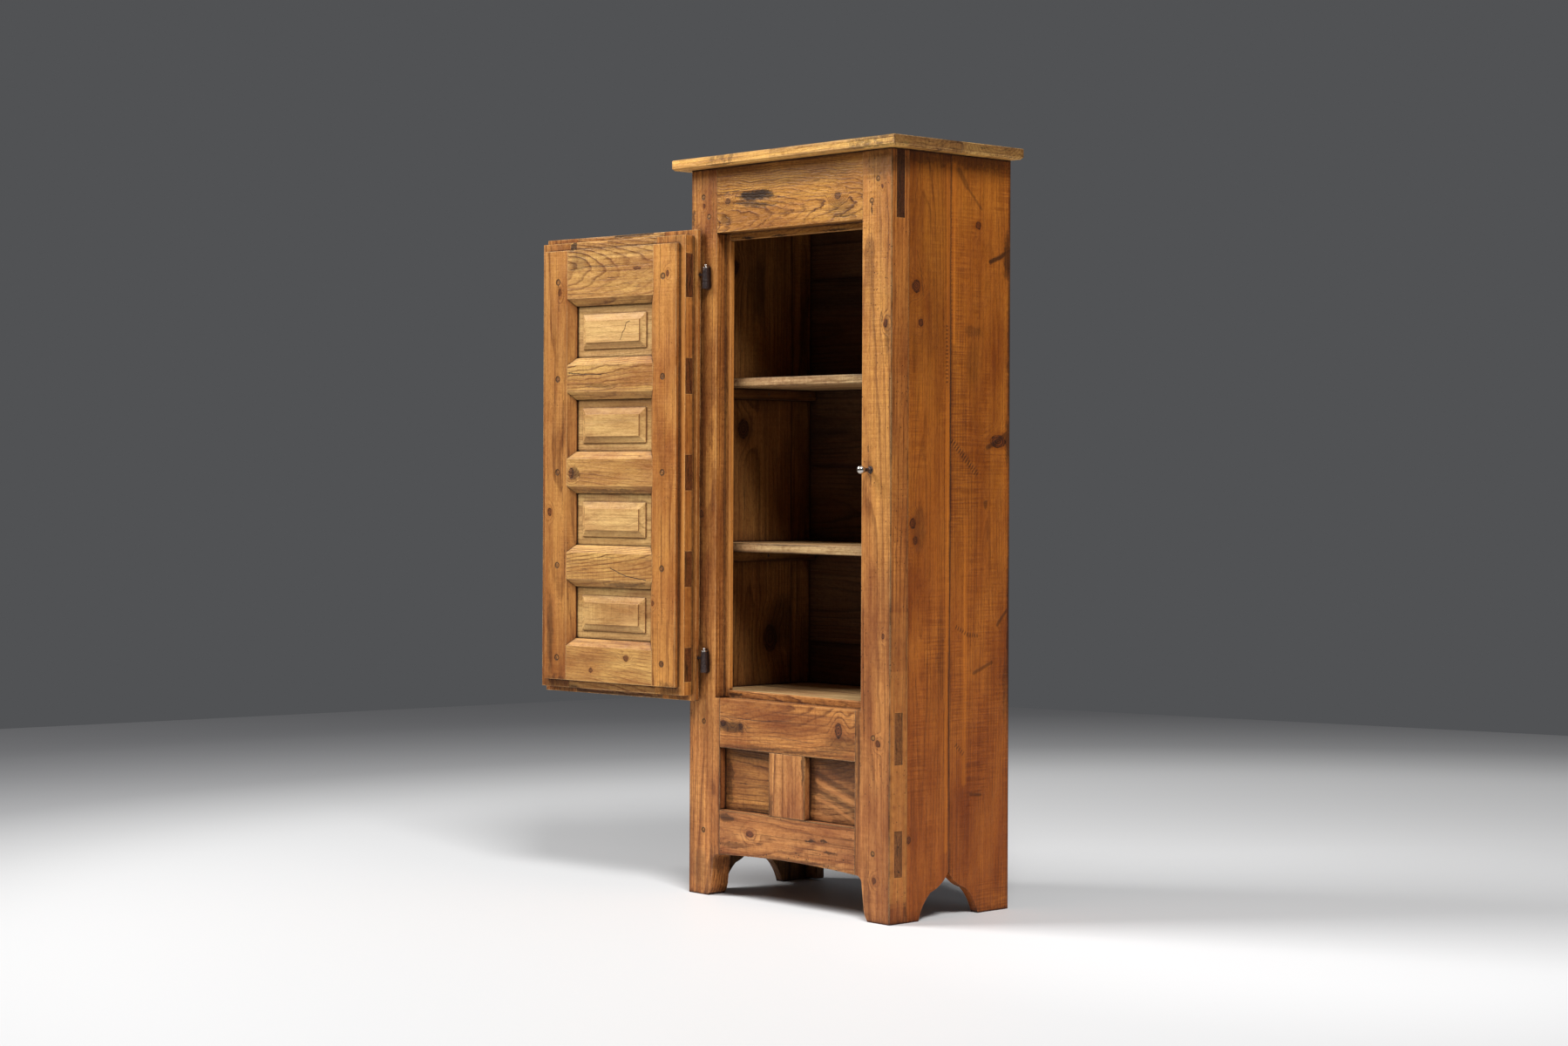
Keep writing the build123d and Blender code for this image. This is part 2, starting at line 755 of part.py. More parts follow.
y_door_tenon = (y_door_middle - door_tenon_thickness / 2, y_door_middle + door_tenon_thickness / 2)
rail_spans = (
    [(door_low, panels_low)]
    + [(low + panel_opening, low + panel_pitch) for low in panel_lows[:-1]]
    + [(panels_high, door_high)]
)
rail_names = ["bottom"] + [f"middle_{i}" for i in range(1, door_panel_count)] + ["top"]


def door_stile(side):
    """A door stile: mortised right through, ploughed, bevelled and stepped."""
    inner, outer = side * x_panel, side * x_lip
    left, right = sorted((inner, outer))
    with BuildPart() as builder:
        facing(left, right, door_low, door_high, y_lip_front, y_door_back)
        step_cuts()
        bevel_cuts()
        groove_cuts()
        for low, high in rail_spans:
            rail_cheeks(low, high, Mode.SUBTRACT)
        for low, high in door_tenon_spans:
            facing(-x_plug, x_plug, low, high, *y_door_tenon, Mode.SUBTRACT)
        pegs(door_peg_places, door_peg, y_lip_front, y_door_back, Mode.SUBTRACT)
        if side < 0:
            for low in hinge_lows.values():
                door_spike(low, Mode.SUBTRACT)
        else:
            tongue_room()
    return builder


def door_spike(low, mode):
    """The square spike of a hinge's door half, driven into the hinge stile's lip."""
    z = low + frame_knuckle_height + knuckle_gap + door_knuckle_height / 2
    half = spike_side / 2
    with BuildSketch(front(hinge_y + half)) as outline:
        with BuildLine():
            Polyline(
                (hinge_x, z - half),
                (-x_lip + door_spike_depth - spike_point, z - half),
                (-x_lip + door_spike_depth, z),
                (-x_lip + door_spike_depth - spike_point, z + half),
                (hinge_x, z + half),
                close=True,
            )
        make_face()
    extrude(outline.sketch, amount=spike_side, mode=mode)


export(door_stile(-1), "door_stile_hinge", swung=True)
export(door_stile(1), "door_stile_free", swung=True)

for name, (low, high), (tenon_low, tenon_high) in zip(rail_names, rail_spans, door_tenon_spans):
    with BuildPart() as door_rail:
        facing(-x_panel, x_panel, low, high, y_lip_front, y_door_back)
        rail_cheeks(low, high, Mode.ADD)
        step_cuts()
        bevel_cuts()
        groove_cuts()
        facing(-x_plug, x_plug, tenon_low, tenon_high, *y_door_tenon)
        tongue_room()
        pegs(door_peg_places, door_peg, y_lip_front, y_door_back, Mode.SUBTRACT)
    export(door_rail, f"door_rail_{name}", swung=True)

# ---------------------------------------------------------------- raised panels
for number, low in enumerate(panel_lows, start=1):
    with BuildPart() as door_panel:
        middle = low + panel_opening / 2
        field_width = 2 * (x_panel - panel_margin)
        field_height = panel_opening - 2 * panel_margin
        facing(
            -x_panel - panel_tongue_bite, x_panel + panel_tongue_bite,
            low - panel_tongue_bite, low + panel_opening + panel_tongue_bite,
            y_door_middle - panel_tongue_thickness / 2, y_door_middle + panel_tongue_thickness / 2,
        )
        for way in (-1, 1):
            y_field = y_door_middle + way * panel_tongue_thickness / 2
            y_slope = y_field + way * panel_wall
            y_step = y_slope + way * panel_slope_rise
            y_flat = y_step + way * panel_step
            with BuildSketch(front(y_slope)):
                with Locations((0, middle)):
                    Rectangle(field_width, field_height)
            extrude(amount=way * panel_wall)
            with BuildSketch(front(y_slope)):
                with Locations((0, middle)):
                    Rectangle(field_width, field_height)
            with BuildSketch(front(y_step)):
                with Locations((0, middle)):
                    Rectangle(field_width - 2 * panel_slope_width, field_height - 2 * panel_slope_width)
            loft()
            with BuildSketch(front(y_flat)):
                with Locations((0, middle)):
                    Rectangle(field_width - 2 * panel_slope_width, field_height - 2 * panel_slope_width)
            extrude(amount=way * panel_step)
    export(door_panel, f"door_panel_{number}", swung=True)

with BuildPart() as door_pegs:
    pegs(door_peg_places, door_peg, y_lip_front, y_door_back)
export(door_pegs, "door_pegs", swung=True)

# ---------------------------------------------------------------- hinges
for name, low in hinge_lows.items():
    knuckle_top = low + frame_knuckle_height
    door_low_face = knuckle_top + knuckle_gap
    door_top_face = door_low_face + door_knuckle_height
    with BuildPart() as hinge_frame:
        with BuildSketch(Plane.XY.offset(low)):
            with Locations((hinge_x, hinge_y)):
                Circle(barrel_radius)
        extrude(amount=frame_knuckle_height)
        fillet(hinge_frame.edges().filter_by(GeomType.CIRCLE).group_by(Axis.Z)[0], radius=barrel_edge)
        with BuildSketch(Plane.XY.offset(knuckle_top)):
            with Locations((hinge_x, hinge_y)):
                Circle(pin_radius)
        extrude(amount=pin_length)
        chamfer(hinge_frame.edges().filter_by(GeomType.CIRCLE).group_by(Axis.Z)[-1], length=barrel_edge)
        frame_spike(low, Mode.ADD)
    export(hinge_frame, f"hinge_{name}_post_half")

    with BuildPart() as hinge_door:
        # barrel with a ring, a neck and a turned finial, revolved about the hinge line
        with BuildSketch(Plane(origin=(hinge_x, hinge_y, door_low_face), x_dir=(1, 0, 0), z_dir=(0, -1, 0))):
            with BuildLine():
                Polyline(
                    (0, 0),
                    (barrel_radius, 0),
                    (barrel_radius, door_knuckle_height - barrel_edge),
                    (barrel_radius - barrel_edge, door_knuckle_height),
                    (finial_neck_radius, door_knuckle_height),
                    (finial_neck_radius, door_knuckle_height + finial_height * 0.3),
                    (finial_radius, door_knuckle_height + finial_height * 0.55),
                    (finial_radius * 0.8, door_knuckle_height + finial_height * 0.9),
                    (0, door_knuckle_height + finial_height),
                    close=True,
                )
            make_face()
        revolve(axis=hinge_line)
        door_spike(low, Mode.ADD)
        with BuildSketch(Plane.XY.offset(door_low_face)):
            with Locations((hinge_x, hinge_y)):
                Circle(pin_radius + pin_clearance)
        extrude(amount=pin_length + pin_end_room, mode=Mode.SUBTRACT)
    export(hinge_door, f"hinge_{name}_door_half", swung=True)

# ---------------------------------------------------------------- latch
with BuildPart() as latch_rosette:
    with BuildSketch(front(y_front)):
        with Locations((latch_x, latch_height)):
            Circle(rosette_radius)
    extrude(amount=rosette_thickness)
    chamfer(latch_rosette.edges().filter_by(GeomType.CIRCLE).group_by(Axis.Y)[0], length=1.0)
    with BuildSketch(front(y_front)):
        with Locations((latch_x, latch_height)):
            Circle(spindle_bore_radius)
    extrude(amount=rosette_thickness, mode=Mode.SUBTRACT)
export(latch_rosette, "latch_rosette")

y_neck = y_front - rosette_thickness - rosette_gap
with BuildPart() as latch_knob:
    # ball and neck turned about the spindle; u is the distance in front of the post
    ball_join = math.sqrt(knob_radius**2 - neck_waist_radius**2)
    knob_axis = Axis((latch_x, y_front, latch_height), (0, -1, 0))
    with BuildSketch(Plane(origin=(latch_x, y_front, latch_height), x_dir=(0, -1, 0), z_dir=(-1, 0, 0))):
        with BuildLine():
            Polyline(
                (knob_reach - ball_join, neck_waist_radius),
                (rosette_thickness + rosette_gap + 2.0, neck_radius),
                (rosette_thickness + rosette_gap, neck_radius),
                (rosette_thickness + rosette_gap, 0),
                (knob_reach + knob_radius, 0),
            )
            ThreePointArc(
                (knob_reach + knob_radius, 0),
                (knob_reach, knob_radius),
                (knob_reach - ball_join, neck_waist_radius),
            )
        make_face()
    revolve(axis=knob_axis)
    with BuildSketch(front(y_tongue + tongue_thickness + spindle_tail)):
        with Locations((latch_x, latch_height)):
            Rectangle(spindle_side, spindle_side)
    extrude(amount=y_tongue + tongue_thickness + spindle_tail - y_neck)
export(latch_knob, "latch_knob")

with BuildPart() as latch_tongue:
    # a slim bar with a rounded end, standing upright while the door is open
    with BuildSketch(front(y_tongue + tongue_thickness)):
        with Locations((latch_x, latch_height)):
            Circle(tongue_width / 2)
        rectangle(
            latch_x - tongue_width / 2, latch_x + tongue_width / 2,
            latch_height, latch_height + tongue_length - tongue_width / 2,
        )
        with Locations((latch_x, latch_height + tongue_length - tongue_width / 2)):
            Circle(tongue_width / 2)
        with Locations((latch_x, latch_height)):
            Rectangle(spindle_side, spindle_side, mode=Mode.SUBTRACT)
    extrude(amount=tongue_thickness)
export(latch_tongue, "latch_tongue")
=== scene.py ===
# %% [markdown]
# # A pine cupboard with a framed door
# This script dresses a joined pine cupboard. The solid model gives the shape of every
# plank, rail and hinge. Here each board gets the grain, knots, stains and wear of old
# waxed pine, the iron gets its forged skin, and the thin things that a solid model leaves
# plain, such as hinge barrels and the knob, are turned again as fine surfaces.
# Everything is in metres, and the first step is to load the model.

# %% Load the model and keep its box
import math
import bpy
import numpy as np
from mathutils import Matrix, Vector


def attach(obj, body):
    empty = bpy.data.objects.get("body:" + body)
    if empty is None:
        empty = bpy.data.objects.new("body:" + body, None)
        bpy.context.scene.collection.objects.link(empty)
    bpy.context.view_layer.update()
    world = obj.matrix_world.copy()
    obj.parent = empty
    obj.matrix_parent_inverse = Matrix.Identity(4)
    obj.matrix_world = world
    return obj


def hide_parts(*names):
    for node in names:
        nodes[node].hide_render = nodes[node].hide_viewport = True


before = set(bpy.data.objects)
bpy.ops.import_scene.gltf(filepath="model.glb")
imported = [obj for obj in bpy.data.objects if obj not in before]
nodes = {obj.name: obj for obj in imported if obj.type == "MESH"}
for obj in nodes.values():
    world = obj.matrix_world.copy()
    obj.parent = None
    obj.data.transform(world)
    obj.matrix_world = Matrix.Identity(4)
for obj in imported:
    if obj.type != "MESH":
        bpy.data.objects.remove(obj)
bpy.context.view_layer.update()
print("boards and fittings in the model:", len(nodes))

# %% [markdown]
# A maker measures a cupboard from the middle of its front, so the places of knots and
# stains below are given that way: x from the middle, y back from the front frame, z up
# from the floor. The door hangs open, so its own places are given as if it were shut.
# Two small facts carry all of that: how far the model's origin is from the middle of the
# front, and where the hinge line stands.

# %% Where places are measured from
DATUM = np.array((0.3065, -0.027, 0.0))     # the middle of the front, in the model's frame
HINGE = np.array((-0.2775, -0.009, 0.0))    # the hinge line, measured from there
DOOR_SWING = math.radians(174.5)            # how far the door has to turn to shut


def shut(points):
    """Door points turned back about the hinge line: p' = h + R (p - h), R a turn about z."""
    c, s = math.cos(DOOR_SWING), math.sin(DOOR_SWING)
    turn = np.array(((c, -s, 0.0), (s, c, 0.0), (0.0, 0.0, 1.0)))
    return (points - HINGE) @ turn.T + HINGE


def places(node, on_door):
    """A node's vertices as an array, measured from the middle of the front."""
    mesh = nodes[node].data
    co = np.empty(len(mesh.vertices) * 3, np.float32)
    mesh.vertices.foreach_get("co", co)
    points = co.reshape(-1, 3) - DATUM
    return shut(points) if on_door else points


print("post, from the middle of the front:", places("front_post_left", False).min(0).round(4))

# %% [markdown]
# Colours are written as the hex values a painter would pick. Blender mixes light
# in linear values, so one function turns hex to linear. A second small function adds a
# node, sets it and wires it, and everything below is built with it. Sockets are named or
# numbered: a Map Range takes its value at 0, the range it comes from at 1 and 2 and the
# range it goes to at 3 and 4, and a Mix takes its share at 0 and its two colours at 6 and 7.

# %% Colour and node helpers
def paint(hex_value):
    """sRGB hex to linear: v/12.92 below 0.04045, otherwise ((v + 0.055) / 1.055) ** 2.4."""
    srgb = [int(hex_value[i:i + 2], 16) / 255 for i in (0, 2, 4)]
    return [v / 12.92 if v < 0.04045 else ((v + 0.055) / 1.055) ** 2.4 for v in srgb] + [1.0]


def add(tree, kind, options=None, sockets=None):
    """Add a node, set its options, and fill its sockets with values, or wire them to nodes."""
    node = tree.nodes.new("ShaderNode" + kind)
    for name, value in (options or {}).items():
        setattr(node, name, value)
    for key, value in (sockets or {}).items():
        if isinstance(value, bpy.types.Node):
            value = next(out for out in value.outputs if out.enabled)
        if isinstance(value, bpy.types.NodeSocket):
            tree.links.new(value, node.inputs[key])
        else:
            node.inputs[key].default_value = value
    return node


# settings that many nodes share: what a Math or VectorMath node does, and how a Mix node mixes
TIMES = {"operation": "MULTIPLY"}
TIMES_PLUS = {"operation": "MULTIPLY_ADD"}
MINUS = {"operation": "SUBTRACT"}
DIVIDE = {"operation": "DIVIDE"}
SCALE = {"operation": "SCALE"}
DOT = {"operation": "DOT_PRODUCT"}
LENGTH = {"operation": "LENGTH"}
ABSOLUTE = {"operation": "ABSOLUTE"}
SMALLEST = {"operation": "MINIMUM"}
LARGEST = {"operation": "MAXIMUM"}
GREATER = {"operation": "GREATER_THAN"}
COMPARE = {"operation": "COMPARE"}
PINGPONG = {"operation": "PINGPONG"}
SMOOTH = {"interpolation_type": "SMOOTHSTEP"}
BLEND = {"data_type": "RGBA"}
TINT = {"data_type": "RGBA", "blend_type": "MULTIPLY"}
HALF = (0.5, 0.5, 0.5)          # the middle of a noise's three values
print("honey pine in linear light:", [round(v, 3) for v in paint("c08444")])

# %% [markdown]
# Pine shows its growth rings. A flat-sawn board cuts them as long flames in the middle
# and as close straight lines towards the edges, because the tree's heart runs along the
# board a hand's width behind its face. That is how the pattern is made here: the distance
# from a heart line is divided by the ring width, and its fraction rises slowly through
# the pale early wood and ends in the thin dark late wood. The heart line leans and the
# wood is warped by soft noise, so no two boards repeat. Round a knot the rings bulge.
# It is one group of nodes, used by every board with its own heart line and colours.

# %% The pine pattern: its sockets
pine = bpy.data.node_groups.new("pine", "ShaderNodeTree")
for name, kind, default in (
    ("Place", "NodeSocketVector", (0.0, 0.0, 0.0)),   # along, across, into the board, metres
    ("Seed", "NodeSocketFloat", 0.0),
    ("Heart across", "NodeSocketFloat", 0.0),
    ("Heart depth", "NodeSocketFloat", 0.06),
    ("Lean", "NodeSocketFloat", 0.02),
    ("Ring", "NodeSocketFloat", 0.007),
    ("Figure", "NodeSocketFloat", 0.8),               # how dark the late wood is drawn
    ("Streaks", "NodeSocketFloat", 0.7),              # and the streaks, spots and dashes
    ("Warp", "NodeSocketFloat", 0.02),
    ("Ripple", "NodeSocketFloat", 0.006),
    ("Bulge", "NodeSocketFloat", 0.012),
    ("Knot", "NodeSocketFloat", 9.0),                 # distance to the nearest, in radii
    # stains, with painted shade among them
    ("Stain and shade", "NodeSocketFloat", 0.0),
    ("Arris", "NodeSocketFloat", 1.0),                # distance to the nearest edge, metres
    # how pale the open arrises are drawn: rubbed wear and a painted highlight
    ("Rub and highlight", "NodeSocketFloat", 0.5),
    ("End grain", "NodeSocketFloat", 0.0),
    ("End tone", "NodeSocketColor", (0.1, 0.03, 0.01, 1.0)),
    ("Worm", "NodeSocketFloat", 0.0),
    ("Sawn", "NodeSocketFloat", 0.2),                 # how clearly the saw's marks still show
    # painted shade: how much darker and redder the faces turned across the board are drawn
    ("Sideways shade", "NodeSocketFloat", 0.0),
    ("Ruddy", "NodeSocketFloat", 0.0),
    # golden strips: rubbed wear, and on one post painted light from the floor
    ("Rubbed and lit", "NodeSocketFloat", 0.0),
    ("Early", "NodeSocketColor", (0.5, 0.3, 0.1, 1.0)),
    ("Late", "NodeSocketColor", (0.2, 0.1, 0.03, 1.0)),
    ("Deep", "NodeSocketColor", (0.2, 0.1, 0.03, 1.0)),
):
    pine.interface.new_socket(name, in_out="INPUT", socket_type=kind).default_value = default
for name, kind in (("Colour", "NodeSocketColor"), ("Roughness", "NodeSocketFloat"),
                   ("Height", "NodeSocketFloat")):
    pine.interface.new_socket(name, in_out="OUTPUT", socket_type=kind)
given = pine.nodes.new("NodeGroupInput").outputs
print("sockets of the pine pattern:", len(given) - 1)

# %% The pine pattern: warped wood and its rings
seed = add(pine, "VectorMath", SCALE, {0: (7.1, 3.3, 5.7), "Scale": given["Seed"]})


def soft_noise(along, across, detail, roughness=0.55):
    """Noise stretched along the grain: it is read at (along u, across v, across w) + seed."""
    stretched = add(pine, "VectorMath", TIMES_PLUS,
                    {0: given["Place"], 1: (along, across, across), 2: seed})
    return add(pine, "TexNoise", {},
               {"Vector": stretched, "Scale": 1.0, "Detail": detail, "Roughness": roughness})


# slow sweeps of 15 cm across and ripples of 3 cm, both moving the wood sideways
warped = given["Place"]
for along, across, detail, reach in ((1.6, 7.0, 2.0, given["Warp"]), (11.0, 30.0, 3.0, given["Ripple"])):
    push = add(pine, "VectorMath", MINUS, {0: soft_noise(along, across, detail).outputs["Color"], 1: HALF})
    sideways = add(pine, "CombineXYZ", {}, {1: reach, 2: reach})
    warped = add(pine, "VectorMath", TIMES_PLUS, {0: push, 1: sideways, 2: warped})

# the heart line: across and depth are measured from it, and it leans along the board
wood = add(pine, "SeparateXYZ", {}, {0: warped})
from_heart = add(pine, "Math", MINUS, {0: wood.outputs[1], 1: given["Heart across"]})
heart_depth = add(pine, "Math", TIMES_PLUS, {0: wood.outputs[0], 1: given["Lean"], 2: given["Heart depth"]})
into_heart = add(pine, "Math", MINUS, {0: wood.outputs[2], 1: heart_depth})
offset = add(pine, "CombineXYZ", {}, {1: from_heart, 2: into_heart})
radius = add(pine, "VectorMath", LENGTH, {0: offset}).outputs["Value"]

# rings bulge beside a knot and close again four radii away
near_knot = add(pine, "MapRange", {"interpolation_type": "SMOOTHERSTEP"},
                {0: given["Knot"], 1: 0.6, 2: 4.2, 3: 1.0, 4: 0.0})
radius = add(pine, "Math", TIMES_PLUS, {0: near_knot, 1: given["Bulge"], 2: radius})
ring = add(pine, "Math", DIVIDE, {0: radius, 1: given["Ring"]})
within = add(pine, "Math", {"operation": "FRACT"}, {0: ring})
year = add(pine, "Math", {"operation": "FLOOR"}, {0: ring})
# how dark the wood is within one ring: pale, then slowly darker, then pale again at once
TURN_OF_YEAR = (0.30, 0.30, 0.30, 1.0)
late = add(pine, "ValToRGB", {}, {0: within})
late.color_ramp.elements[0].color = TURN_OF_YEAR
for at, level in ((0.07, 0.0), (0.50, 0.05), (0.72, 0.42), (0.84, 1.0), (0.95, 1.0)):
    late.color_ramp.elements.new(at).color = (level, level, level, 1.0)
late.color_ramp.elements[-1].color = TURN_OF_YEAR
# every year's ring has its own strength, and the wax hides the rings in some places
strength = add(pine, "TexWhiteNoise", {"noise_dimensions": "1D"}, {"W": year})
strength = add(pine, "MapRange", {}, {0: strength.outputs["Value"], 3: 0.55, 4: 1.0})
clear = soft_noise(4.5, 12.0, 3.0)
clear = add(pine, "MapRange", {}, {0: clear, 1: 0.34, 2: 0.60, 3: 0.40, 4: 1.20})
for limit in (strength, clear):
    late = add(pine, "Math", TIMES, {0: late, 1: limit})
print("nodes of the rings:", len(pine.nodes))

# %% [markdown]
# Two colours would make a clean new board. Old waxed pine has many more: patches where the
# wax is thick, streaks along the grain, specks of dirt and short lines where the grain has
# opened. Each is a noise stretched along the grain, turned by a Map Range into a strength,
# and the colour is mixed or multiplied by it. Where it darkens, blue goes down the most and
# red the least, as old shellac and wax do.

# %% The pine pattern: grain, patches and streaks
# the fibres of real pine are finer than a hair; here they are drawn 3 mm apart, so that they show
fibre = soft_noise(4.5, 330.0, 2.0)
streak = soft_noise(2.0, 95.0, 4.0, 0.7)
grain = add(pine, "Math", TIMES_PLUS, {0: fibre, 1: 1.10, 2: -0.50})
grain = add(pine, "Math", {"operation": "MULTIPLY_ADD", "use_clamp": True},
            {0: late, 1: given["Figure"], 2: grain})
colour = add(pine, "Mix", BLEND, {0: grain, 6: given["Early"], 7: given["Late"]})
# broad patches where wax and hands have turned the wood deeper
patch = soft_noise(2.4, 9.0, 5.0, 0.6)
patch_level = add(pine, "MapRange", {}, {0: patch, 1: 0.46, 2: 0.66, 3: 0.0, 4: 0.80})
colour = add(pine, "Mix", BLEND, {0: patch_level, 6: colour, 7: given["Deep"]})
# clouds a hand wide, narrow streaks, and small spots of dirt and old polish, 5 mm and smaller
cloud_level = add(pine, "MapRange", {}, {0: soft_noise(5.0, 11.0, 2.0), 1: 0.36, 2: 0.64})
cloud_tint = add(pine, "Mix", BLEND, {0: cloud_level, 6: (0.80, 0.66, 0.60, 1.0), 7: (1.14, 1.18, 1.12, 1.0)})
colour = add(pine, "Mix", TINT, {0: 0.6, 6: colour, 7: cloud_tint})
streak_level = add(pine, "MapRange", {}, {0: streak, 1: 0.30, 2: 0.66})
streak_tint = add(pine, "Mix", BLEND,
                  {0: streak_level, 6: (0.55, 0.42, 0.31, 1.0), 7: (1.20, 1.27, 1.16, 1.0)})
spots = soft_noise(90.0, 170.0, 4.0, 0.7)
spot_level = add(pine, "MapRange", {}, {0: spots, 1: 0.36, 2: 0.54})
spot_tint = add(pine, "Mix", BLEND, {0: spot_level, 6: (0.72, 0.62, 0.54, 1.0), 7: (1.10, 1.13, 1.10, 1.0)})
for tint in (streak_tint, spot_tint):
    colour = add(pine, "Mix", TINT, {0: given["Streaks"], 6: colour, 7: tint})
print("nodes with the grain's colours:", len(pine.nodes))

# %% The pine pattern: open grain and saw marks
# thin dark lines of open grain, 3 mm wide and a hand long
line = soft_noise(2.6, 210.0, 2.0, 0.6)
line = add(pine, "MapRange", SMOOTH, {0: line, 1: 0.60, 2: 0.66, 3: 0.0, 4: 0.70})
line = add(pine, "Math", TIMES, {0: line, 1: given["Streaks"]})
colour = add(pine, "Mix", BLEND, {0: line, 6: colour, 7: paint("542a10")})
# short dark dashes where the grain has opened, 2 mm wide and 3 cm long
dash = soft_noise(13.0, 260.0, 3.0, 0.6)
dash = add(pine, "MapRange", SMOOTH, {0: dash, 1: 0.64, 2: 0.69})
dash_here = soft_noise(5.0, 22.0, 2.0)
dash_here = add(pine, "MapRange", {}, {0: dash_here, 1: 0.44, 2: 0.60, 3: 0.10, 4: 1.0})
for limit in (dash_here, given["Streaks"]):
    dash = add(pine, "Math", TIMES, {0: dash, 1: limit})
colour = add(pine, "Mix", BLEND, {0: dash, 6: colour, 7: paint("2a1409")})
# the saw's marks run across the grain, 4 mm apart and a hand long, where they still show
sawn = soft_noise(240.0, 11.0, 2.0)
sawn = add(pine, "MapRange", {}, {0: sawn, 1: 0.40, 2: 0.60, 3: -1.0, 4: 1.0})
sawn_here = soft_noise(4.0, 12.0, 3.0)
sawn_here = add(pine, "MapRange", {}, {0: sawn_here, 1: 0.46, 2: 0.62, 3: 0.12, 4: 1.0})
for limit in (sawn_here, given["Sawn"]):
    sawn = add(pine, "Math", TIMES, {0: sawn, 1: limit})
sawn_level = add(pine, "MapRange", {}, {0: sawn, 1: -1.0, 2: 1.0})
sawn_tint = add(pine, "Mix", BLEND, {0: sawn_level, 6: (0.62, 0.52, 0.44, 1.0), 7: (1.38, 1.48, 1.50, 1.0)})
colour = add(pine, "Mix", TINT, {0: 1.0, 6: colour, 7: sawn_tint})
print("nodes with open grain and saw marks:", len(pine.nodes))

# %% [markdown]
# Dirt, wear and painted shade depend on the shape. The corners where two boards meet and
# the hollows, which an Ambient Occlusion node finds, are darkened as painted shade. Dirt lies
# along the edges of a board and in the joint between two boards, which its own distance to
# the nearest edge gives. Hands and cloths rub the open corners pale, and the pale colour
# there is also a painted highlight on the rounded arris. A Bevel node finds those corners:
# near a corner its rounded normal leaves the face's own normal.

# %% The pine pattern: painted shade in the corners, and dirt along the edges
# painted shade fills hollows within 32 mm and dirt a band of 14 mm along the edges; both are
# broken up by noise; the seam between two boards is nearly black, as a dark joint line and
# as painted shade within 7 mm of a corner
# both Ambient Occlusion nodes find corners and hollows; the darkening drawn from them is painted shade
corner = add(pine, "AmbientOcclusion", {"samples": 8}, {"Distance": 0.007}).outputs["AO"]
hollow = add(pine, "AmbientOcclusion", {"samples": 4}, {"Distance": 0.032}).outputs["AO"]
hollow_shade_here = add(pine, "MapRange", {}, {0: spots, 1: 0.30, 2: 0.66, 3: 1.15, 4: 0.55})
# painted shade in the hollows, darkest where the Ambient Occlusion is lowest
hollow_shade = add(pine, "MapRange", {}, {0: hollow, 1: 0.45, 2: 0.90, 3: 0.75, 4: 0.0})
hollow_shade = add(pine, "Math", {"operation": "MULTIPLY", "use_clamp": True}, {0: hollow_shade, 1: hollow_shade_here})
band = add(pine, "MapRange", SMOOTH, {0: given["Arris"], 1: 0.0, 2: 0.014, 3: 1.0, 4: 0.0})
band_here = add(pine, "MapRange", {}, {0: patch, 1: 0.38, 2: 0.60, 3: 0.05, 4: 0.60})
band = add(pine, "Math", TIMES, {0: band, 1: band_here})
# the darkening: painted shade in the hollows, and dirt along the edges
dirt_and_shade = add(pine, "Math", LARGEST, {0: hollow_shade, 1: band})
# painted shade within 7 mm of a corner, joined below with the dark joint line along each edge
seam_and_shade = add(pine, "MapRange", {}, {0: corner, 1: 0.60, 2: 0.90, 3: 0.90, 4: 0.0})
joint = add(pine, "MapRange", SMOOTH, {0: given["Arris"], 1: 0.0012, 2: 0.0036, 3: 0.80, 4: 0.0})
joint_here = add(pine, "MapRange", {}, {0: patch, 1: 0.36, 2: 0.54, 3: 0.30, 4: 1.0})
joint = add(pine, "Math", TIMES, {0: joint, 1: joint_here})
seam_and_shade = add(pine, "Math", LARGEST, {0: seam_and_shade, 1: joint})
# the colour darkened by dirt and by painted shade, then the seam drawn nearly black
dirt_and_shade_colour = add(pine, "Mix", TINT, {0: 1.0, 6: colour, 7: paint("6e3f22")})
colour = add(pine, "Mix", BLEND, {0: dirt_and_shade, 6: colour, 7: dirt_and_shade_colour})
colour = add(pine, "Mix", BLEND, {0: seam_and_shade, 6: colour, 7: paint("241008")})
print("nodes with dirt:", len(pine.nodes))

# %% The pine pattern: rubbed and highlit edges, and painted shade on the flanks
# an open arris, the corner between two faces, is drawn pale over 4 mm, in places: rubbed wear and a painted
# highlight on its rounded edge
rounded = add(pine, "Bevel", {"samples": 4}, {"Radius": 0.004})
facing = add(pine, "NewGeometry")
alike = add(pine, "VectorMath", DOT, {0: rounded, 1: facing.outputs["True Normal"]})
arris_rub_and_highlight = add(pine, "MapRange", {}, {0: alike.outputs["Value"], 1: 0.998, 2: 0.90, 3: 0.0, 4: 1.0})
rub_and_highlight_here = soft_noise(12.0, 24.0, 4.0, 0.7)
rub_and_highlight_here = add(pine, "MapRange", {}, {0: rub_and_highlight_here, 1: 0.38, 2: 0.54})
open_here = add(pine, "MapRange", {}, {0: corner, 1: 0.80, 2: 0.98})
for limit in (rub_and_highlight_here, open_here, given["Rub and highlight"]):
    arris_rub_and_highlight = add(pine, "Math", TIMES, {0: arris_rub_and_highlight, 1: limit})
# the pale arris colour is rubbed wear and a painted highlight
colour = add(pine, "Mix", BLEND, {0: arris_rub_and_highlight, 6: colour, 7: paint("e2b274")})
# painted shade: faces turned across a board, its narrow edges, are drawn darker and redder
# than its face; below a metre the colour turns less yellow and bluer towards the floor
colour = add(pine, "Mix", TINT, {0: given["Sideways shade"], 6: colour, 7: (0.84, 0.66, 0.52, 1.0)})
colour = add(pine, "Mix", TINT, {0: given["Ruddy"], 6: colour, 7: (0.97, 0.90, 1.28, 1.0)})
